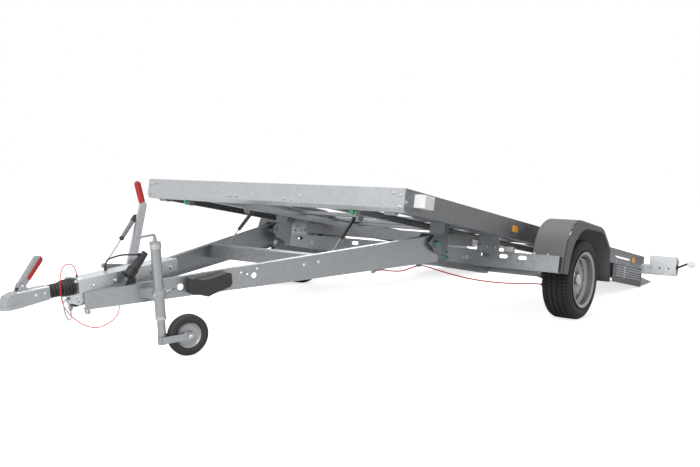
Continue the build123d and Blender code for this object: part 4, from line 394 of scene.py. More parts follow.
def finish_material(name, group, values, metallic=0.0, bump=0.1, bump_depth=0.0005, **sockets):
    """Material whose colour, roughness and bump come from a group, with constants on the shader itself."""
    if name in bpy.data.materials:
        return bpy.data.materials[name]
    material = bpy.data.materials.new(name)
    material.use_nodes = True
    tree = material.node_tree
    shader = tree.nodes["Principled BSDF"]
    effect = add_node(tree, "ShaderNodeGroup", node_tree=group)
    for key, value in values.items():
        effect.inputs[key].default_value = value
    relief = add_node(tree, "ShaderNodeBump", {"Strength": bump, "Distance": bump_depth,
                                                "Height": effect.outputs["Height"]})
    tree.links.new(effect.outputs["Color"], shader.inputs["Base Color"])
    tree.links.new(effect.outputs["Roughness"], shader.inputs["Roughness"])
    tree.links.new(relief.outputs["Normal"], shader.inputs["Normal"])
    shader.inputs["Metallic"].default_value = metallic
    for key, value in sockets.items():
        shader.inputs[key.replace("_", " ")].default_value = value
    return material


# Finishes of one tone: name of the material, colour, roughness and metallic share
PLAIN_FINISHES = {
    "red_sheath": ("Red sheath", (0.62, 0.012, 0.008), 0.4, 0.0),
    "tyre_rubber": ("Tyre rubber", (0.013, 0.013, 0.014), 0.7, 0.0),
    "rim_paint": ("Rim paint", (0.34, 0.35, 0.36), 0.36, 0.6),
    "black_rubber": ("Black rubber", (0.02, 0.02, 0.02), 0.6, 0.0),
    "lamp_red": ("Red lens", (0.35, 0.012, 0.012), 0.15, 0.0),
    "lamp_clear": ("Clear lens", (0.85, 0.86, 0.86), 0.12, 0.0),
    "reflector_orange": ("Orange reflector", (1.0, 0.4, 0.03), 0.25, 0.0),
    "black_plastic": ("Black plastic", (0.025, 0.025, 0.025), 0.45, 0.0),
    "red_grip": ("Red grip", (0.4, 0.02, 0.015), 0.5, 0.0),
    "black_paint": ("Black paint", (0.02, 0.02, 0.02), 0.3, 0.0),
    "bright_rod": ("Bright rod", (0.42, 0.43, 0.44), 0.2, 1.0),
    "grey_plastic": ("Grey plastic", (0.22, 0.22, 0.225), 0.5, 0.0),
    "pale_plastic": ("Pale plastic", (0.6, 0.61, 0.6), 0.45, 0.0),
    "green_plastic": ("Green plastic", (0.03, 0.3, 0.12), 0.45, 0.0),
    "bright_zinc": ("Bright zinc", (0.55, 0.56, 0.57), 0.26, 0.95),
    "teal_zinc": ("Passivated zinc", (0.22, 0.42, 0.40), 0.3, 0.85),
}
# Crystals to the metre and their depth of tone, of the finishes above that are zinc
PLATING = {"bright_zinc": (400.0, 0.08), "teal_zinc": (300.0, 0.1)}

# Tone of the imported pieces, as shares of the zinc's colour: partly fresher or more weathered zinc, partly
# painted light on lit pieces and painted shade on pieces in shadow
ZINC_WEAR_AND_SHADE_SHARES = {"front_panel": 1.35, "overrun_housing": 1.6, "lamp_brackets": 1.5, "handbrake_lever": 1.45,
               "coupling_head": 1.1, "side_rails": 0.58, "tail_frame": 0.3, "support_beam": 0.7,
               "fender_beam": 0.85, "drawbar_cross_member": 0.85, "loading_lips": 0.8}


def plain_finish(key):
    """A finish of one tone, from the table of them."""
    name, tone, roughness, metallic = PLAIN_FINISHES[key]
    values = {"Tone": (*tone, 1.0), "Roughness": roughness}
    if key in PLATING:
        values["Crystals"], values["Depth"] = PLATING[key]
        return finish_material(name, zinc_group(), values, metallic)
    return finish_material(name, grain_group(), values, metallic)


def zinc_with_wear_and_shade(share):
    """Zinc that is fresher or more weathered than the rest, and lighter or darker with painted light and shade:
    the tone is multiplied by the share.
    """
    look = bpy.context.scene.trailer_look
    tone = tuple(min(channel * share, 0.9) for channel in look.zinc)
    depth, roughness = (0.2, 0.48) if share < 1 else (0.1, 0.36)
    return finish_material(f"Galvanised steel {share:.2f}", zinc_group(), {
        "Tone": (*tone, 1.0), "Crystals": 1.0 / look.spangle, "Depth": depth, "Roughness": roughness},
        metallic=0.85)


def slot_material(slot):
    """The finish of one material slot of the record."""
    look = bpy.context.scene.trailer_look
    if slot == "galvanised_steel":
        return finish_material("Galvanised steel", zinc_group(), {
            "Tone": (*look.zinc, 1.0), "Crystals": 1.0 / look.spangle}, metallic=0.85)
    if slot == "fender_plastic":
        return finish_material("Fender plastic", grain_group(), {
            "Tone": (*look.fender, 1.0), "Roughness": 0.5}, Specular_IOR_Level=0.3)
    return plain_finish(slot)


def assign(piece, material):
    """Give a piece one material on all its faces."""
    piece.data.materials.clear()
    piece.data.materials.append(material)


class TRAILER_OT_finishes(bpy.types.Operator):
    """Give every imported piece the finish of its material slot"""
    bl_idname = "trailer.finishes"
    bl_label = "Finish the packed pieces"

    def execute(self, context):
        for name, piece in NODES.items():
            share = ZINC_WEAR_AND_SHADE_SHARES.get(name)
            # Pieces in the table get a zinc tone that carries painted light or painted shade as well as wear
            assign(piece, zinc_with_wear_and_shade(share) if share else slot_material(SLOTS[name]))
        return {"FINISHED"}


def beam_point(x, z, side):
    """Point on the outer face of a drawbar beam: the beam runs back and outwards at its slope."""
    return x, side * (BAR_FRONT[1] + (x - BAR_FRONT[0]) * BEAM_SLOPE), z


# Tread of the road tyres, in millimetres: its half width, its crown's radius, and the places and half width
# of the grooves round it
TREAD_EDGE = 80.0
TREAD_RADIUS = 262.3
GROOVES = (17.0, 51.0)
GROOVE_HALF_WIDTH = 4.2


def tyre_form(centre_y, outward, look):
    """Tyre: a profile of offsets and radii swept round the axle, less its grooves. A groove round the tread
    lowers the radius where the offset is within half its width. The gaps between the blocks lower it where
    the turn times the count of blocks, less its whole part, is under a share of one."""
    wall = np.array([(84, 168.4), (85.4, 177), (85.6, 187), (88.6, 190), (89, 195), (93, 203), (97, 213),
                     (97.3, 221), (96.2, 229), (95, 230), (92, 239), (88, 246), (84.5, 250.5),
                     (82, 253)], float)
    tread = np.linspace(-TREAD_EDGE, TREAD_EDGE, 81)
    crown = TREAD_RADIUS - 0.00031 * np.abs(tread) ** 2 - 7.0 * np.clip((np.abs(tread) - 62) / 18, 0, 1) ** 2
    low = wall * (-1, 1)
    offset = np.concatenate([low[:, 0], tread, wall[::-1, 0], (60, -60)])
    radius = np.concatenate([low[:, 1], crown, wall[::-1, 1], (167.9, 167.9)])
    blocks = look.tread_blocks
    columns = blocks * 7
    turn = np.arange(columns) / columns
    depth = look.tread_depth * 1000
    mid = np.abs(offset[:, None])
    on_tread = (radius > 252.9)[:, None]
    to_groove = np.minimum(np.abs(mid - GROOVES[0]), np.abs(mid - GROOVES[1]))
    grooves = np.clip((GROOVE_HALF_WIDTH - to_groove) / 1.2, 0, 1) * depth
    share = (turn[None, :] * blocks + mid / 90.0) % 1.0
    shoulder = (mid > 57) & (share < 0.19)
    ribs = (mid > 22) & (mid < 46) & ((share + 0.5) % 1.0 < 0.15)
    centre = (mid < 12) & ((turn[None, :] * blocks + offset[:, None] / 60) % 1.0 < 0.13)
    cuts = np.maximum(np.maximum(shoulder * depth * 0.75, ribs * depth * 0.5), centre * depth * 0.4)
    swept = radius[:, None] - on_tread * np.maximum(grooves, cuts)
    angle = 2 * np.pi * turn
    across = np.broadcast_to(centre_y + outward * offset[:, None], swept.shape)
    points = np.stack([swept * np.sin(angle), across, swept * np.cos(angle)], axis=-1)
    quads = ring_quads(len(offset), columns, close_rows=True)
    return points.reshape(-1, 3), quads if outward > 0 else quads[:, ::-1], []


class TRAILER_OT_tyres(bpy.types.Operator):
    """Make the road tyres with their treads and side walls"""
    bl_idname = "trailer.tyres"
    bl_label = "Road tyres"

    def execute(self, context):
        look = context.scene.trailer_look
        for side, name in ((-1, "left"), (1, "right")):
            form = tyre_form(side * WHEEL_Y, side, look)
            piece = make_piece(f"road_tyre_{name}", [form], f"wheel_{name}", "tyre_rubber", DECK_POSE,
                               crease=30)
            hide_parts(f"tyre_{name}")
        return {"FINISHED"}


class TRAILER_OT_wheels(bpy.types.Operator):
    """Make the wheel nuts, hub caps and valves"""
    bl_idname = "trailer.wheels"
    bl_label = "Wheel nuts and caps"

    def execute(self, context):
        width = context.scene.trailer_look.nut_width * 1000
        bolt_circle, disc_face = 50, WHEEL_Y + 31
        flat = width * 0.577
        nut = [(0, width * 0.72), (4, width * 0.62), (5, flat), (17, flat), (19, width * 0.44)]
        for side, name in ((-1, "left"), (1, "right")):
            axis = (0, side, 0)
            nuts = []
            for turn in np.arange(4) * np.pi / 2 + 0.5:
                seat = (bolt_circle * math.sin(turn), side * disc_face, bolt_circle * math.cos(turn))
                nuts.append(turned_form(nut, seat, axis, 6))
            make_piece(f"wheel_nuts_{name}", nuts, f"wheel_{name}", "galvanised_steel", DECK_POSE, bevel=0.6)
            cap = turned_form([(50, 37), (58, 37), (60, 35.5), (63, 34), (65, 29), (66.5, 20), (67, 9)],
                              (0, side * WHEEL_Y, 0), axis, 40)
            make_plated(f"hub_cap_{name}", [cap], f"wheel_{name}", DECK_POSE)
            valve = turned_form([(0, 5.5), (12, 5.5), (16, 4), (28, 4), (29, 4.6), (38, 4.6), (39, 3.8)],
                                (0, side * (WHEEL_Y + 56), 152), (0, side * 0.8, -0.35), 14)
            make_piece(f"valve_{name}", [valve], f"wheel_{name}", "black_rubber", DECK_POSE)
        return {"FINISHED"}


class TRAILER_OT_gaiter(bpy.types.Operator):
    """Make the rubber gaiter that folds up between the housing and the coupling head"""
    bl_idname = "trailer.gaiter"
    bl_label = "Overrun gaiter"

    def execute(self, context):
        # Profile: the crest's radius, which narrows towards the front, less a cosine wave with one crest to a
        # fold. The wave dies away at the front end, and the inner face lies a wall's thickness further in.
        folds = context.scene.trailer_look.bellows
        wall, bore = 2.0, 21.0
        rear, front = -2975.4, -3103.6
        share = np.linspace(0, 1, folds * 12 + 1)
        fold = 0.5 - 0.5 * np.cos(2 * np.pi * folds * share)
        crest = 41.0 - 3.0 * share - 6.5 * np.clip((share - 0.38) * 8, 0, 1)
        crest -= 6.0 * np.clip((share - 0.93) * 20, 0, 1)
        outer = crest - 8.5 * (1 - fold ** 0.7) * np.clip((1 - share) * 20, 0, 1)
        along = rear + (front - rear) * share
        inner = np.maximum(outer - wall, bore)
        profile = np.concatenate([np.stack([along[::-1], outer[::-1]], 1), np.stack([along, inner], 1)])
        form = turned_form(profile, (0, 0, SHAFT_Z), BACK, 56, closed=True)
        piece = make_piece("overrun_gaiter", [form], "drawbar", "black_rubber", BAR_POSE, crease=60)
        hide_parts("gaiter")
        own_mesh(piece)
        return {"FINISHED"}


class TRAILER_OT_cables(bpy.types.Operator):
    """Lay the plug's cable, the breakaway cable and the brake cable"""
    bl_idname = "trailer.cables"
    bl_label = "Cables"

    def execute(self, context):
        make_cable("plug_cable", PLUG_CABLE, 0.009, BAR_POSE, length=0.2177, far_end="object",
                   stiffness="limp", lay="hanging", with_pieces=[NODES["plug"]])
        make_cable("breakaway_cable", BREAKAWAY_CABLE, 0.005, BAR_POSE, length=0.7179, far_end="object",
                   stiffness="medium", lay="hanging")
        make_cable("brake_cable_front", FRONT_CABLE, 0.008, BAR_POSE, length=0.3456, far_end="object",
                   stiffness="stiff", lay="hanging")
        make_cable("brake_cable_rear", BRAKE_CABLE, 0.008, DECK_POSE, length=1.0064, far_end="object",
                   stiffness="stiff", lay="hanging")
        taper = [(0, 9), (3, 9), (4, 7.5), (26, 5.2), (28, 4.8)]
        relief = [turned_form(taper, (-2762, 38, 207), UP, 20),
                  turned_form([(0, 7), (3, 7), (4, 5.5), (18, 3.2)], (-2945, 0, 207), UP, 18)]
        make_piece("cable_glands", relief, "drawbar", "black_rubber", BAR_POSE)
        ferrule = [(0, 7), (14, 7), (16, 5.5), (30, 4.6)]
        make_plated("front_cable_ferrules", [turned_form(ferrule, (-1037, -624, -23), FORWARD, 18),
                                             turned_form(ferrule, (-1355, -527, -8), BACK, 18)],
                    "drawbar", BAR_POSE)
        gland = [(0, 7), (16, 7), (18, 5.5), (40, 4.6)]
        make_plated("rear_cable_ferrules", [turned_form(ferrule, (-951, -604, -38), BACK, 18),
                                            turned_form(gland, (-85, -1037, -60), FORWARD, 18)],
                    "platform", DECK_POSE)
        return {"FINISHED"}


class TRAILER_OT_bolts(bpy.types.Operator):
    """Set the bolts of the deck, the hinge and the drawbar"""
    bl_idname = "trailer.bolts"
    bl_label = "Bolts"

    def execute(self, context):
        bar = []
        for side in (-1, 1):
            square = (-math.sin(BEAM_TURN), side * math.cos(BEAM_TURN), 0)
            for x, z in ((-1824, 104), (-1735, 105), (-2949, 60)):
                bar += hex_bolt(beam_point(x, z, side), square, 17)
            for x, z in ((-919, 125), (-917, 67)):
                bar.append(dome_head(beam_point(x, z, side), square, 9))
        for x in (-2900, -2780, -2560, -2440):
            bar += hex_bolt((x, -55, 172), LEFT, 15) + hex_bolt((x, 55, 172), RIGHT, 15)
        for y in (-38, 38):
            for z in (112, 200):
                bar += hex_bolt((-2975, y, z), FORWARD, 13)
        make_plated("drawbar_bolts", bar, "drawbar", BAR_POSE, bevel=0.4)
        hinge, deck = [], []
        for side in (-1, 1):
            hinge += hex_bolt((HINGE_AT[0], side * 704, HINGE_AT[1]), (0, side, 0), 24)
            for x, z in ((-849, 34), (-788, 30), (-800, 62)):
                hinge += hex_bolt((x, side * 694, z), (0, side, 0), 15)
            for x, z in ((-1770, 248), (365, 222), (-1640, 300), (1420, 214), (1700, 214), (2050, 214)):
                deck += hex_bolt((x, side * RAIL_FACE, z), (0, side, 0), 13)
            for y, z in ((241, 233), (185, 235), (921, 291), (964, 281), (963, 222)):
                deck += hex_bolt((PANEL_FACE, side * y, z), FORWARD, 12)
            for y in (55, 300, 640):
                deck.append(dome_head((PANEL_FACE, side * y, 256), FORWARD, 6))
            for y in (790, 850):
                deck += hex_bolt((FENDER_BEAM_FACE, side * y, 140), FORWARD, 13)
            for y in (1110, 1200):
                deck += hex_bolt((-440, side * y, 115), UP, 13)
            for y in (640, 660):
                deck += hex_bolt((FENDER_BEAM_FACE, side * y, 60), FORWARD, 14)
        make_piece("hinge_bolts", hinge, "platform", "galvanised_steel", DECK_POSE, plain_finish("teal_zinc"),
                   bevel=0.4)
        make_plated("deck_bolts", deck, "platform", DECK_POSE, bevel=0.4)
        return {"FINISHED"}


class TRAILER_OT_coupling(bpy.types.Operator):
    """Make the coupling handle's grip, the head's rivets and the breakaway hook"""
    bl_idname = "trailer.coupling"
    bl_label = "Coupling fittings"

    def execute(self, context):
        pivot, tip = np.array(HANDLE_PIVOT), np.array(HANDLE_TIP)
        reach, length = unit(tip - pivot), np.linalg.norm(tip - pivot)
        rear = np.cross(RIGHT, reach)
        end_radius, half_width = 18.2, 14.2
        turn = np.linspace(np.pi / 2, -0.16, 12)
        round_end = np.stack([length + end_radius * np.cos(turn), end_radius * np.sin(turn)], axis=1)
        outline = np.concatenate([[(38, -3), (38, 13), (42, 16.6)], round_end])
        grip = slab_form(outline, pivot - (0, half_width, 0), reach, rear, 2 * half_width)
        make_piece("handle_grip", [grip], "coupling_handle", "red_grip", BAR_POSE, bevel=1.5)
        rivets = [dome_head((x, side * 30, 176), (0, side, 0), 8) for side in (-1, 1) for x in (-3126, -3170)]
        pin = [dome_head((HANDLE_PIVOT[0], side * 20, HANDLE_PIVOT[2]), (0, side, 0), 7) for side in (-1, 1)]
        make_plated("head_rivets", rivets + pin, "coupling", BAR_POSE)
        hook = loop_form((-3056, -74, 90), (15, 0, 0), (-7, 0, 46), 3.4, RIGHT, sides=12)
        sleeve = turned_form([(0, 5), (2, 5.6), (20, 5.6), (22, 5)], (-3044, -74, 84), (0.1, 0, 1), 14)
        ring = loop_form((-3067, -70, 142), (0, 11, 0), (0, 0, 11), 1.8, BACK, steps=32)
        make_piece("breakaway_hook", [hook, sleeve, ring], "drawbar", "bright_rod", BAR_POSE)
        eye = loop_form((-2949, -76, 60), (0, 9, 0), (0, 0, 9), 3, BACK)
        make_piece("beam_eye", [eye], "drawbar", "galvanised_steel", BAR_POSE)
        return {"FINISHED"}


class TRAILER_OT_handbrake(bpy.types.Operator):
    """Make the ribbed grip, its button and the strut's collar and ribs"""
    bl_idname = "trailer.handbrake"
    bl_label = "Handbrake fittings"

    def execute(self, context):
        root, top = np.array((-2454.0, 114, 479)), np.array((-2479.0, 114, 602))
        axis, reach = unit(top - root), np.linalg.norm(top - root)
        along = np.linspace(24, reach - 8, 141)
        # Ridges: the size of a sine wave, made blunt by a power under one
        ridges = 15.4 + 1.5 * np.abs(np.sin(along * np.pi / 9.5)) ** 0.6
        grip = turned_form(np.stack([along, ridges], axis=1), root, axis, 36)
        make_piece("grip_ribs", [grip], "handbrake", "red_grip", BAR_POSE)
        button = turned_form([(reach - 3, 9), (reach + 1.5, 9), (reach + 2.6, 7.5), (reach + 3, 4)],
                             root, axis, 24)
        make_piece("release_button", [button], "handbrake", "black_plastic", BAR_POSE)
        head = np.array(LEVER_STRUT_HEAD)
        down = unit(np.array(LEVER_STRUT_FOOT) - head)
        start, end = 30, 128
        ribbed = np.linspace(start, end, 99)
        # Ribbed sleeve: the radius steps up wherever a sine wave along it is above nought
        bore = 10.05
        sleeve = np.stack([ribbed, 10.6 + 1.1 * (np.sin(ribbed * 2 * np.pi / 7) > 0)], axis=1)
        sleeve = np.concatenate([sleeve, [(end, bore), (start, bore)]])
        ribs = turned_form(sleeve, head, down, 28, closed=True)
        collar = turned_form([(10, 11), (11, 14), (27, 14), (29, 12.5), (start, 11)], head, down, 28)
        gland = turned_form([(end, 11), (134, 12.4), (140, 12.4), (142, 9), (146, 6)], head, down, 28)
        make_piece("lever_strut_ribs", [ribs], "lever_strut_cylinder", "black_paint", BAR_POSE,
                   plain_finish("grey_plastic"))
        make_piece("lever_strut_collars", [collar, gland], "lever_strut_cylinder", "black_plastic", BAR_POSE)
        bolts = hex_bolt((-2490, 142, 425), RIGHT, 13) + hex_bolt((-2556, 108, 190), LEFT, 15)
        make_plated("lever_bolts", bolts, "handbrake", BAR_POSE, bevel=0.4)
        return {"FINISHED"}


class TRAILER_OT_struts(bpy.types.Operator):
    """Make the end collars of the gas struts"""
    bl_idname = "trailer.struts"
    bl_label = "Gas strut collars"

    def execute(self, context):
        for name in ("left", "right"):
            head = np.array(JOINTS[f"strut_pivot_{name}"]["pos_m"]) * 1000
            down = np.array(JOINTS[f"strut_slide_{name}"]["axis"])
            bottom = turned_form([(150, 11.4), (158, 11.4), (161, 8.5), (163, 6)], head, down, 28)
            top = turned_form([(12, 9), (14, 11.4), (20, 11.4), (21, 11.1)], head, down, 28)
            make_piece(f"strut_collars_{name}", [bottom, top], f"strut_cylinder_{name}", "black_plastic",
                       Matrix.Identity(4))
        return {"FINISHED"}


class TRAILER_OT_jockey(bpy.types.Operator):
    """Make the jockey wheel's nuts, hub, tube bands and clamp fittings"""
    bl_idname = "trailer.jockey"
    bl_label = "Jockey wheel fittings"

    def execute(self, context):
        wheel = np.array(JOINTS["jockey_wheel_spin"]["pos_m"]) * 1000
        axis = np.array(JOINTS["jockey_wheel_spin"]["axis"])
        hub = [turned_form([(side * 20, 17), (side * 27, 17), (side * 29, 14)][::side], wheel, axis, 28)
               for side in (1, -1)]
        make_piece("jockey_hub", hub, "jockey_wheel", "rim_paint", Matrix.Identity(4))
        nuts = []
        for side in (-1, 1):
            nuts += hex_bolt(wheel + axis * side * 36, axis * side, 15)
        make_plated("jockey_nuts", nuts, "jockey_swivel", Matrix.Identity(4))
        x, y = JOCKEY_AT
        tube = 24.05
        bands = (([(-12, 26.5), (12, 26.5), (12, tube), (-12, tube)], 332),
                 ([(-8, 25.8), (4, 25.8), (6, tube), (-8, tube)], -10))
        bands = [turned_form(band, (x, y, z), UP, 36, closed=True) for band, z in bands]
        make_plated("jockey_tube_bands", bands, "drawbar", BAR_POSE)
        nut = hex_bolt((x + 28, y, 105), BACK, 20, 0) + hex_bolt((x - 34, y - 12, 105), LEFT, 14)
        make_plated("clamp_nuts", nut, "drawbar", BAR_POSE, bevel=0.5)
        return {"FINISHED"}


class TRAILER_OT_lamps(bpy.types.Operator):
    """Make the housings and lens zones of the lamps"""
    bl_idname = "trailer.lamps"
    bl_label = "Lamp fittings"

    def execute(self, context):
        shells, amber, clear, ribs = [], [], [], []
        for side in (-1, 1):
            centre = np.array((2134.0, side * 1172, 248))
            shells.append(slab_form(rounded_outline(214, 134, 12), centre - (1.8, 0, 0), RIGHT, UP, 1.6))
            # Rim: outlines out to the lens, over its edge and back inside, joined as a closed ring
            loops = [(rounded_outline(width, height, 15), depth) for width, height, depth in
                     ((225, 145, 0), (225, 145, 26), (220.6, 140.6, 28), (220.6, 140.6, 0))]
            rows = [np.column_stack([np.full(len(line), depth), line]) + centre for line, depth in loops]
            shells.append((np.concatenate(rows), ring_quads(4, len(rows[0]), close_rows=True), []))
            lens = centre + (52.2, 0, 0)
            amber.append(slab_form(rounded_outline(56, 124, 5), lens + (0, side * 72, 0), RIGHT, UP, 1.6))
            clear.append(slab_form(rounded_outline(64, 52, 5), lens + (0, -side * 66, -30), RIGHT, UP, 1.6))
            for step in np.arange(-96, 100, 8.0):
                ribs.append(box_form(centre + (52, step - 1.2, -62), centre + (53, step + 1.2, 62)))
        make_piece("lamp_housings", shells, "platform", "black_plastic", DECK_POSE)
        make_piece("lamp_amber_zones", amber, "platform", "reflector_orange", DECK_POSE, bevel=0.6)
        make_piece("lamp_clear_zones", clear, "platform", "lamp_clear", DECK_POSE, bevel=0.6)
        make_piece("lamp_lens_ribs", ribs, "platform", "lamp_red", DECK_POSE)
        return {"FINISHED"}


class TRAILER_OT_deck_fittings(bpy.types.Operator):
    """Make the small fittings along and under the deck"""
    bl_idname = "trailer.deck_fittings"
    bl_label = "Deck fittings"

    def execute(self, context):
        loop = np.array(((1075, 200), (1078, 160), (1086, 122), (1104, 98), (1126, 90), (1156, 90),
                         (1180, 98), (1197, 122), (1205, 160), (1208, 200)), float)
        path = np.column_stack([loop[:, 0], np.full(len(loop), -982.0), loop[:, 1]])
        make_piece("deck_loop", [carried_form(path, 4.5, RIGHT, 12)], "platform", "lamp_clear", DECK_POSE,
                   plain_finish("bright_zinc"))
        boxes = [box_form((-462, -972, 115), (-430, -908, 150)), box_form((-462, 908, 115), (-430, 972, 150))]
        make_piece("junction_boxes", boxes, "platform", "lamp_clear", DECK_POSE, plain_finish("pale_plastic"),
                   bevel=3)
        panel_rear = -1741
        caps = [turned_form([(0, 12), (16, 12), (18, 10)], (panel_rear, side * 650, 186), FORWARD, 20)
                for side in (-1, 1)]
        make_piece("end_plugs", caps, "platform", "black_plastic", DECK_POSE, plain_finish("green_plastic"))
        under = []
        for side in (-1, 1):
            under.append(box_form((panel_rear, side * 880 - 34, 184), (-1705, side * 880 + 34, 198)))
            under.append(box_form((panel_rear, side * 650 - 18, 168), (-1700, side * 650 + 18, 198)))
        make_piece("panel_brackets", under, "platform", "galvanised_steel", DECK_POSE, bevel=1.5)
        slats = []
        for inner in (-RAIL_FACE - 2.5, RAIL_FACE - 0.5):
            slats += [box_form((1450, inner, z - 4), (2080, inner + 3, z + 4))
                      for z in (104, 124, 144, 164, 184)]
            slats.append(box_form((1640, inner - 1, 90), (1672, inner + 4, 196)))
        make_piece("tail_slats", slats, "platform", "galvanised_steel", DECK_POSE, bevel=0.8)
        return {"FINISHED"}


class TRAILER_OT_chock(bpy.types.Operator):
    """Make the ribs of the wheel chock and the rings of the parked plug"""
    bl_idname = "trailer.chock"
    bl_label = "Chock and plug fittings"

    def execute(self, context):
        along = np.array((math.cos(BEAM_TURN), -math.sin(BEAM_TURN), 0))
        square = np.array((-math.sin(BEAM_TURN), -math.cos(BEAM_TURN), 0))
        outer_face, ribs = 69.5, []
        for x, low, high in ((-2468, 72, 134), (-2446, 64, 128), (-2422, 58, 122), (-2398, 52, 122),
                             (-2374, 58, 124), (-2348, 64, 127), (-2322, 70, 131), (-2300, 74, 134)):
            start, rise = np.array(beam_point(x, low, -1)) + square * outer_face, high - low
            ribs.append(slab_form(((0, 0), (7, 0), (7, rise), (0, rise)), start, along, UP, -3.0))
        make_piece("chock_ribs", ribs, "drawbar", "black_plastic", BAR_POSE, bevel=0.8)
        foot, top = np.array((-2725.0, -85, 185)), np.array((-2618.0, -85, 277))
        ring = ((0, 23), (1, 25.2), (3, 25.2), (4, 23))
        grips = [turned_form([(place + step, radius - place * 0.05) for step, radius in ring],
                             foot, unit(top - foot), 28) for place in range(48, 96, 8)]
        make_piece("plug_grips", grips, "drawbar", "black_plastic", BAR_POSE)
        return {"FINISHED"}


class TRAILER_OT_stage(bpy.types.Operator):
    """Lay the floor and set the lamps, the world and the photograph's camera"""
    bl_idname = "trailer.stage"
    bl_label = "Set the stage"

    def execute(self, context):
        build_floor(context.scene.trailer_look)
        build_lights()
        build_world()
        build_camera()
        context.scene.view_settings.view_transform = "Standard"
        return {"FINISHED"}


# Glow of the floor for the camera alone, which takes its lit colour up to the backdrop's white
FLOOR_LIFT = 0.72
FLOOR_RADIUS = 60.0


def build_floor(look):
    """A wide round floor, lit like the object and lifted to the white backdrop for the camera alone."""
    segments = 96
    angle = np.linspace(0, 2 * np.pi, segments, endpoint=False)
    rim = FLOOR_RADIUS * np.stack([np.cos(angle), np.sin(angle), np.zeros(segments)], axis=1)
    mesh = bpy.data.meshes.new("stage_floor")
    mesh.from_pydata(rim.tolist(), [], [list(range(segments))])
    floor = bpy.data.objects.new("stage_floor", mesh)
    bpy.context.scene.collection.objects.link(floor)
    material = bpy.data.materials.new("Stage floor")
    material.use_nodes = True
    tree = material.node_tree
    shader = tree.nodes["Principled BSDF"]
    shader.inputs["Base Color"].default_value = (*look.floor, 1.0)
    shader.inputs["Roughness"].default_value = 0.9
    shader.inputs["Specular IOR Level"].default_value = 0.1
    path = add_node(tree, "ShaderNodeLightPath")
    lift = add_node(tree, "ShaderNodeEmission", {"Color": (1, 1, 1, 1)})
    strength = add_node(tree, "ShaderNodeMath", {0: path.outputs["Is Camera Ray"], 1: FLOOR_LIFT},
                        operation="MULTIPLY")
    tree.links.new(strength.outputs[0], lift.inputs["Strength"])
    both = add_node(tree, "ShaderNodeAddShader", {0: shader.outputs[0], 1: lift.outputs[0]})
    tree.links.new(both.outputs[0], tree.nodes["Material Output"].inputs["Surface"])
    mesh.materials.append(material)


def build_lights():
    """Three soft lamps: one high before the trailer, one over it and one behind."""
    for name, place, size, power in (
            ("Key lamp", (-8.5, -2.0, 4.6), 4.0, 430.0),
            ("Top lamp", (0.0, 0.5, 7.5), 5.0, 300.0),
            ("Back lamp", (5.5, 5.0, 4.0), 4.0, 130.0)):
        lamp = bpy.data.lights.new(name, "AREA")
        lamp.shape = "DISK"
        lamp.size = size
        lamp.energy = power
        holder = bpy.data.objects.new(name, lamp)
        holder.location = place
        holder.rotation_mode = "QUATERNION"
        holder.rotation_quaternion = (Vector((-0.5, 0, 0.4)) - Vector(place)).to_track_quat("-Z", "Y")
        bpy.context.scene.collection.objects.link(holder)


def build_world():
    """A white backdrop for camera, glossy and transmission rays, and a level grey light for the rest."""
    world = bpy.data.worlds.new("Studio")
    bpy.context.scene.world = world
    world.use_nodes = True
    tree = world.node_tree
    path = add_node(tree, "ShaderNodeLightPath")
    rays = path.outputs
    seen = add_node(tree, "ShaderNodeMath", {0: rays["Is Camera Ray"], 1: rays["Is Glossy Ray"]},
                    operation="MAXIMUM")
    shown = add_node(tree, "ShaderNodeMath", {0: seen.outputs[0], 1: rays["Is Transmission Ray"]},
                     operation="MAXIMUM")
    strength = add_node(tree, "ShaderNodeMapRange", {"Value": shown.outputs[0], "To Min": 0.38,
                                                      "To Max": 1.0})
    background = tree.nodes["Background"]
    background.inputs["Color"].default_value = (1, 1, 1, 1)
    tree.links.new(strength.outputs["Result"], background.inputs["Strength"])


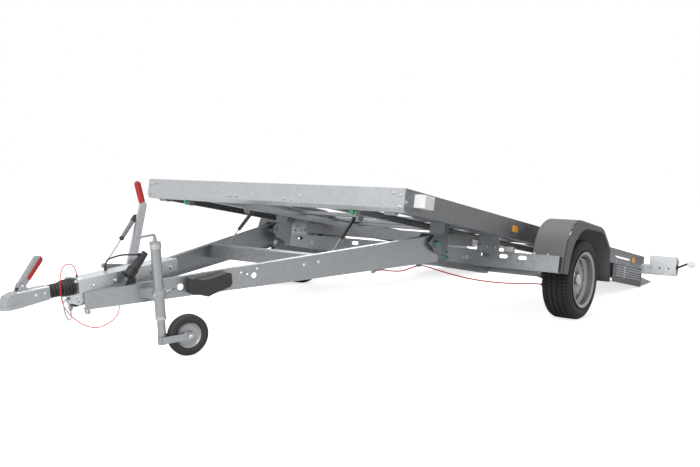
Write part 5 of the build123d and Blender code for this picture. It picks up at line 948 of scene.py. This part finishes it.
def build_camera():
    """The photograph's camera: looks along its yaw and pitch, turned by its roll."""
    camera = bpy.data.cameras.new("Camera")
    camera.sensor_width = SENSOR_MM
    camera.lens = FOCAL_PX / FRAME_WIDTH_PX * SENSOR_MM
    camera.clip_end = 500.0
    holder = bpy.data.objects.new("Camera", camera)
    ahead = math.cos(CAMERA_PITCH)
    look = Vector((math.sin(CAMERA_YAW) * ahead, math.cos(CAMERA_YAW) * ahead, -math.sin(CAMERA_PITCH)))
    level = look.cross(Vector((0, 0, 1))).normalized()
    upright = level.cross(look)
    right = level * math.cos(CAMERA_ROLL) + upright * math.sin(CAMERA_ROLL)
    up = upright * math.cos(CAMERA_ROLL) - level * math.sin(CAMERA_ROLL)
    turn = Matrix((right, up, -look)).transposed().to_4x4()
    holder.matrix_world = Matrix.Translation(CAMERA_PLACE) @ turn
    bpy.context.scene.collection.objects.link(holder)
    bpy.context.scene.camera = holder


class TRAILER_PT_panel(bpy.types.Panel):
    """Lists the trailer's operators in the sidebar"""
    bl_idname = "TRAILER_PT_panel"
    bl_label = "Tilt car trailer"
    bl_space_type = "VIEW_3D"
    bl_region_type = "UI"
    bl_category = "Trailer"

    def draw(self, context):
        look = context.scene.trailer_look
        for name in TrailerLook.__annotations__:
            self.layout.prop(look, name)
        for step in STEPS:
            self.layout.operator(step)


MAKERS = (TRAILER_OT_finishes, TRAILER_OT_stage, TRAILER_OT_cables, TRAILER_OT_tyres, TRAILER_OT_wheels,
          TRAILER_OT_gaiter, TRAILER_OT_bolts, TRAILER_OT_coupling, TRAILER_OT_handbrake, TRAILER_OT_struts,
          TRAILER_OT_jockey, TRAILER_OT_lamps, TRAILER_OT_deck_fittings, TRAILER_OT_chock)
STEPS = tuple(maker.bl_idname for maker in MAKERS)
CLASSES = (TrailerLook, *MAKERS, TRAILER_PT_panel)


def register():
    for made in CLASSES:
        bpy.utils.register_class(made)
    bpy.types.Scene.trailer_look = bpy.props.PointerProperty(type=TrailerLook)


def unregister():
    del bpy.types.Scene.trailer_look
    for made in reversed(CLASSES):
        bpy.utils.unregister_class(made)


def main():
    """Register the add-on and run its steps in order."""
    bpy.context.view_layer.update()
    register()
    for step in STEPS:
        group, name = step.split(".")
        getattr(getattr(bpy.ops, group), name)()


if __name__ == "__main__":
    main()
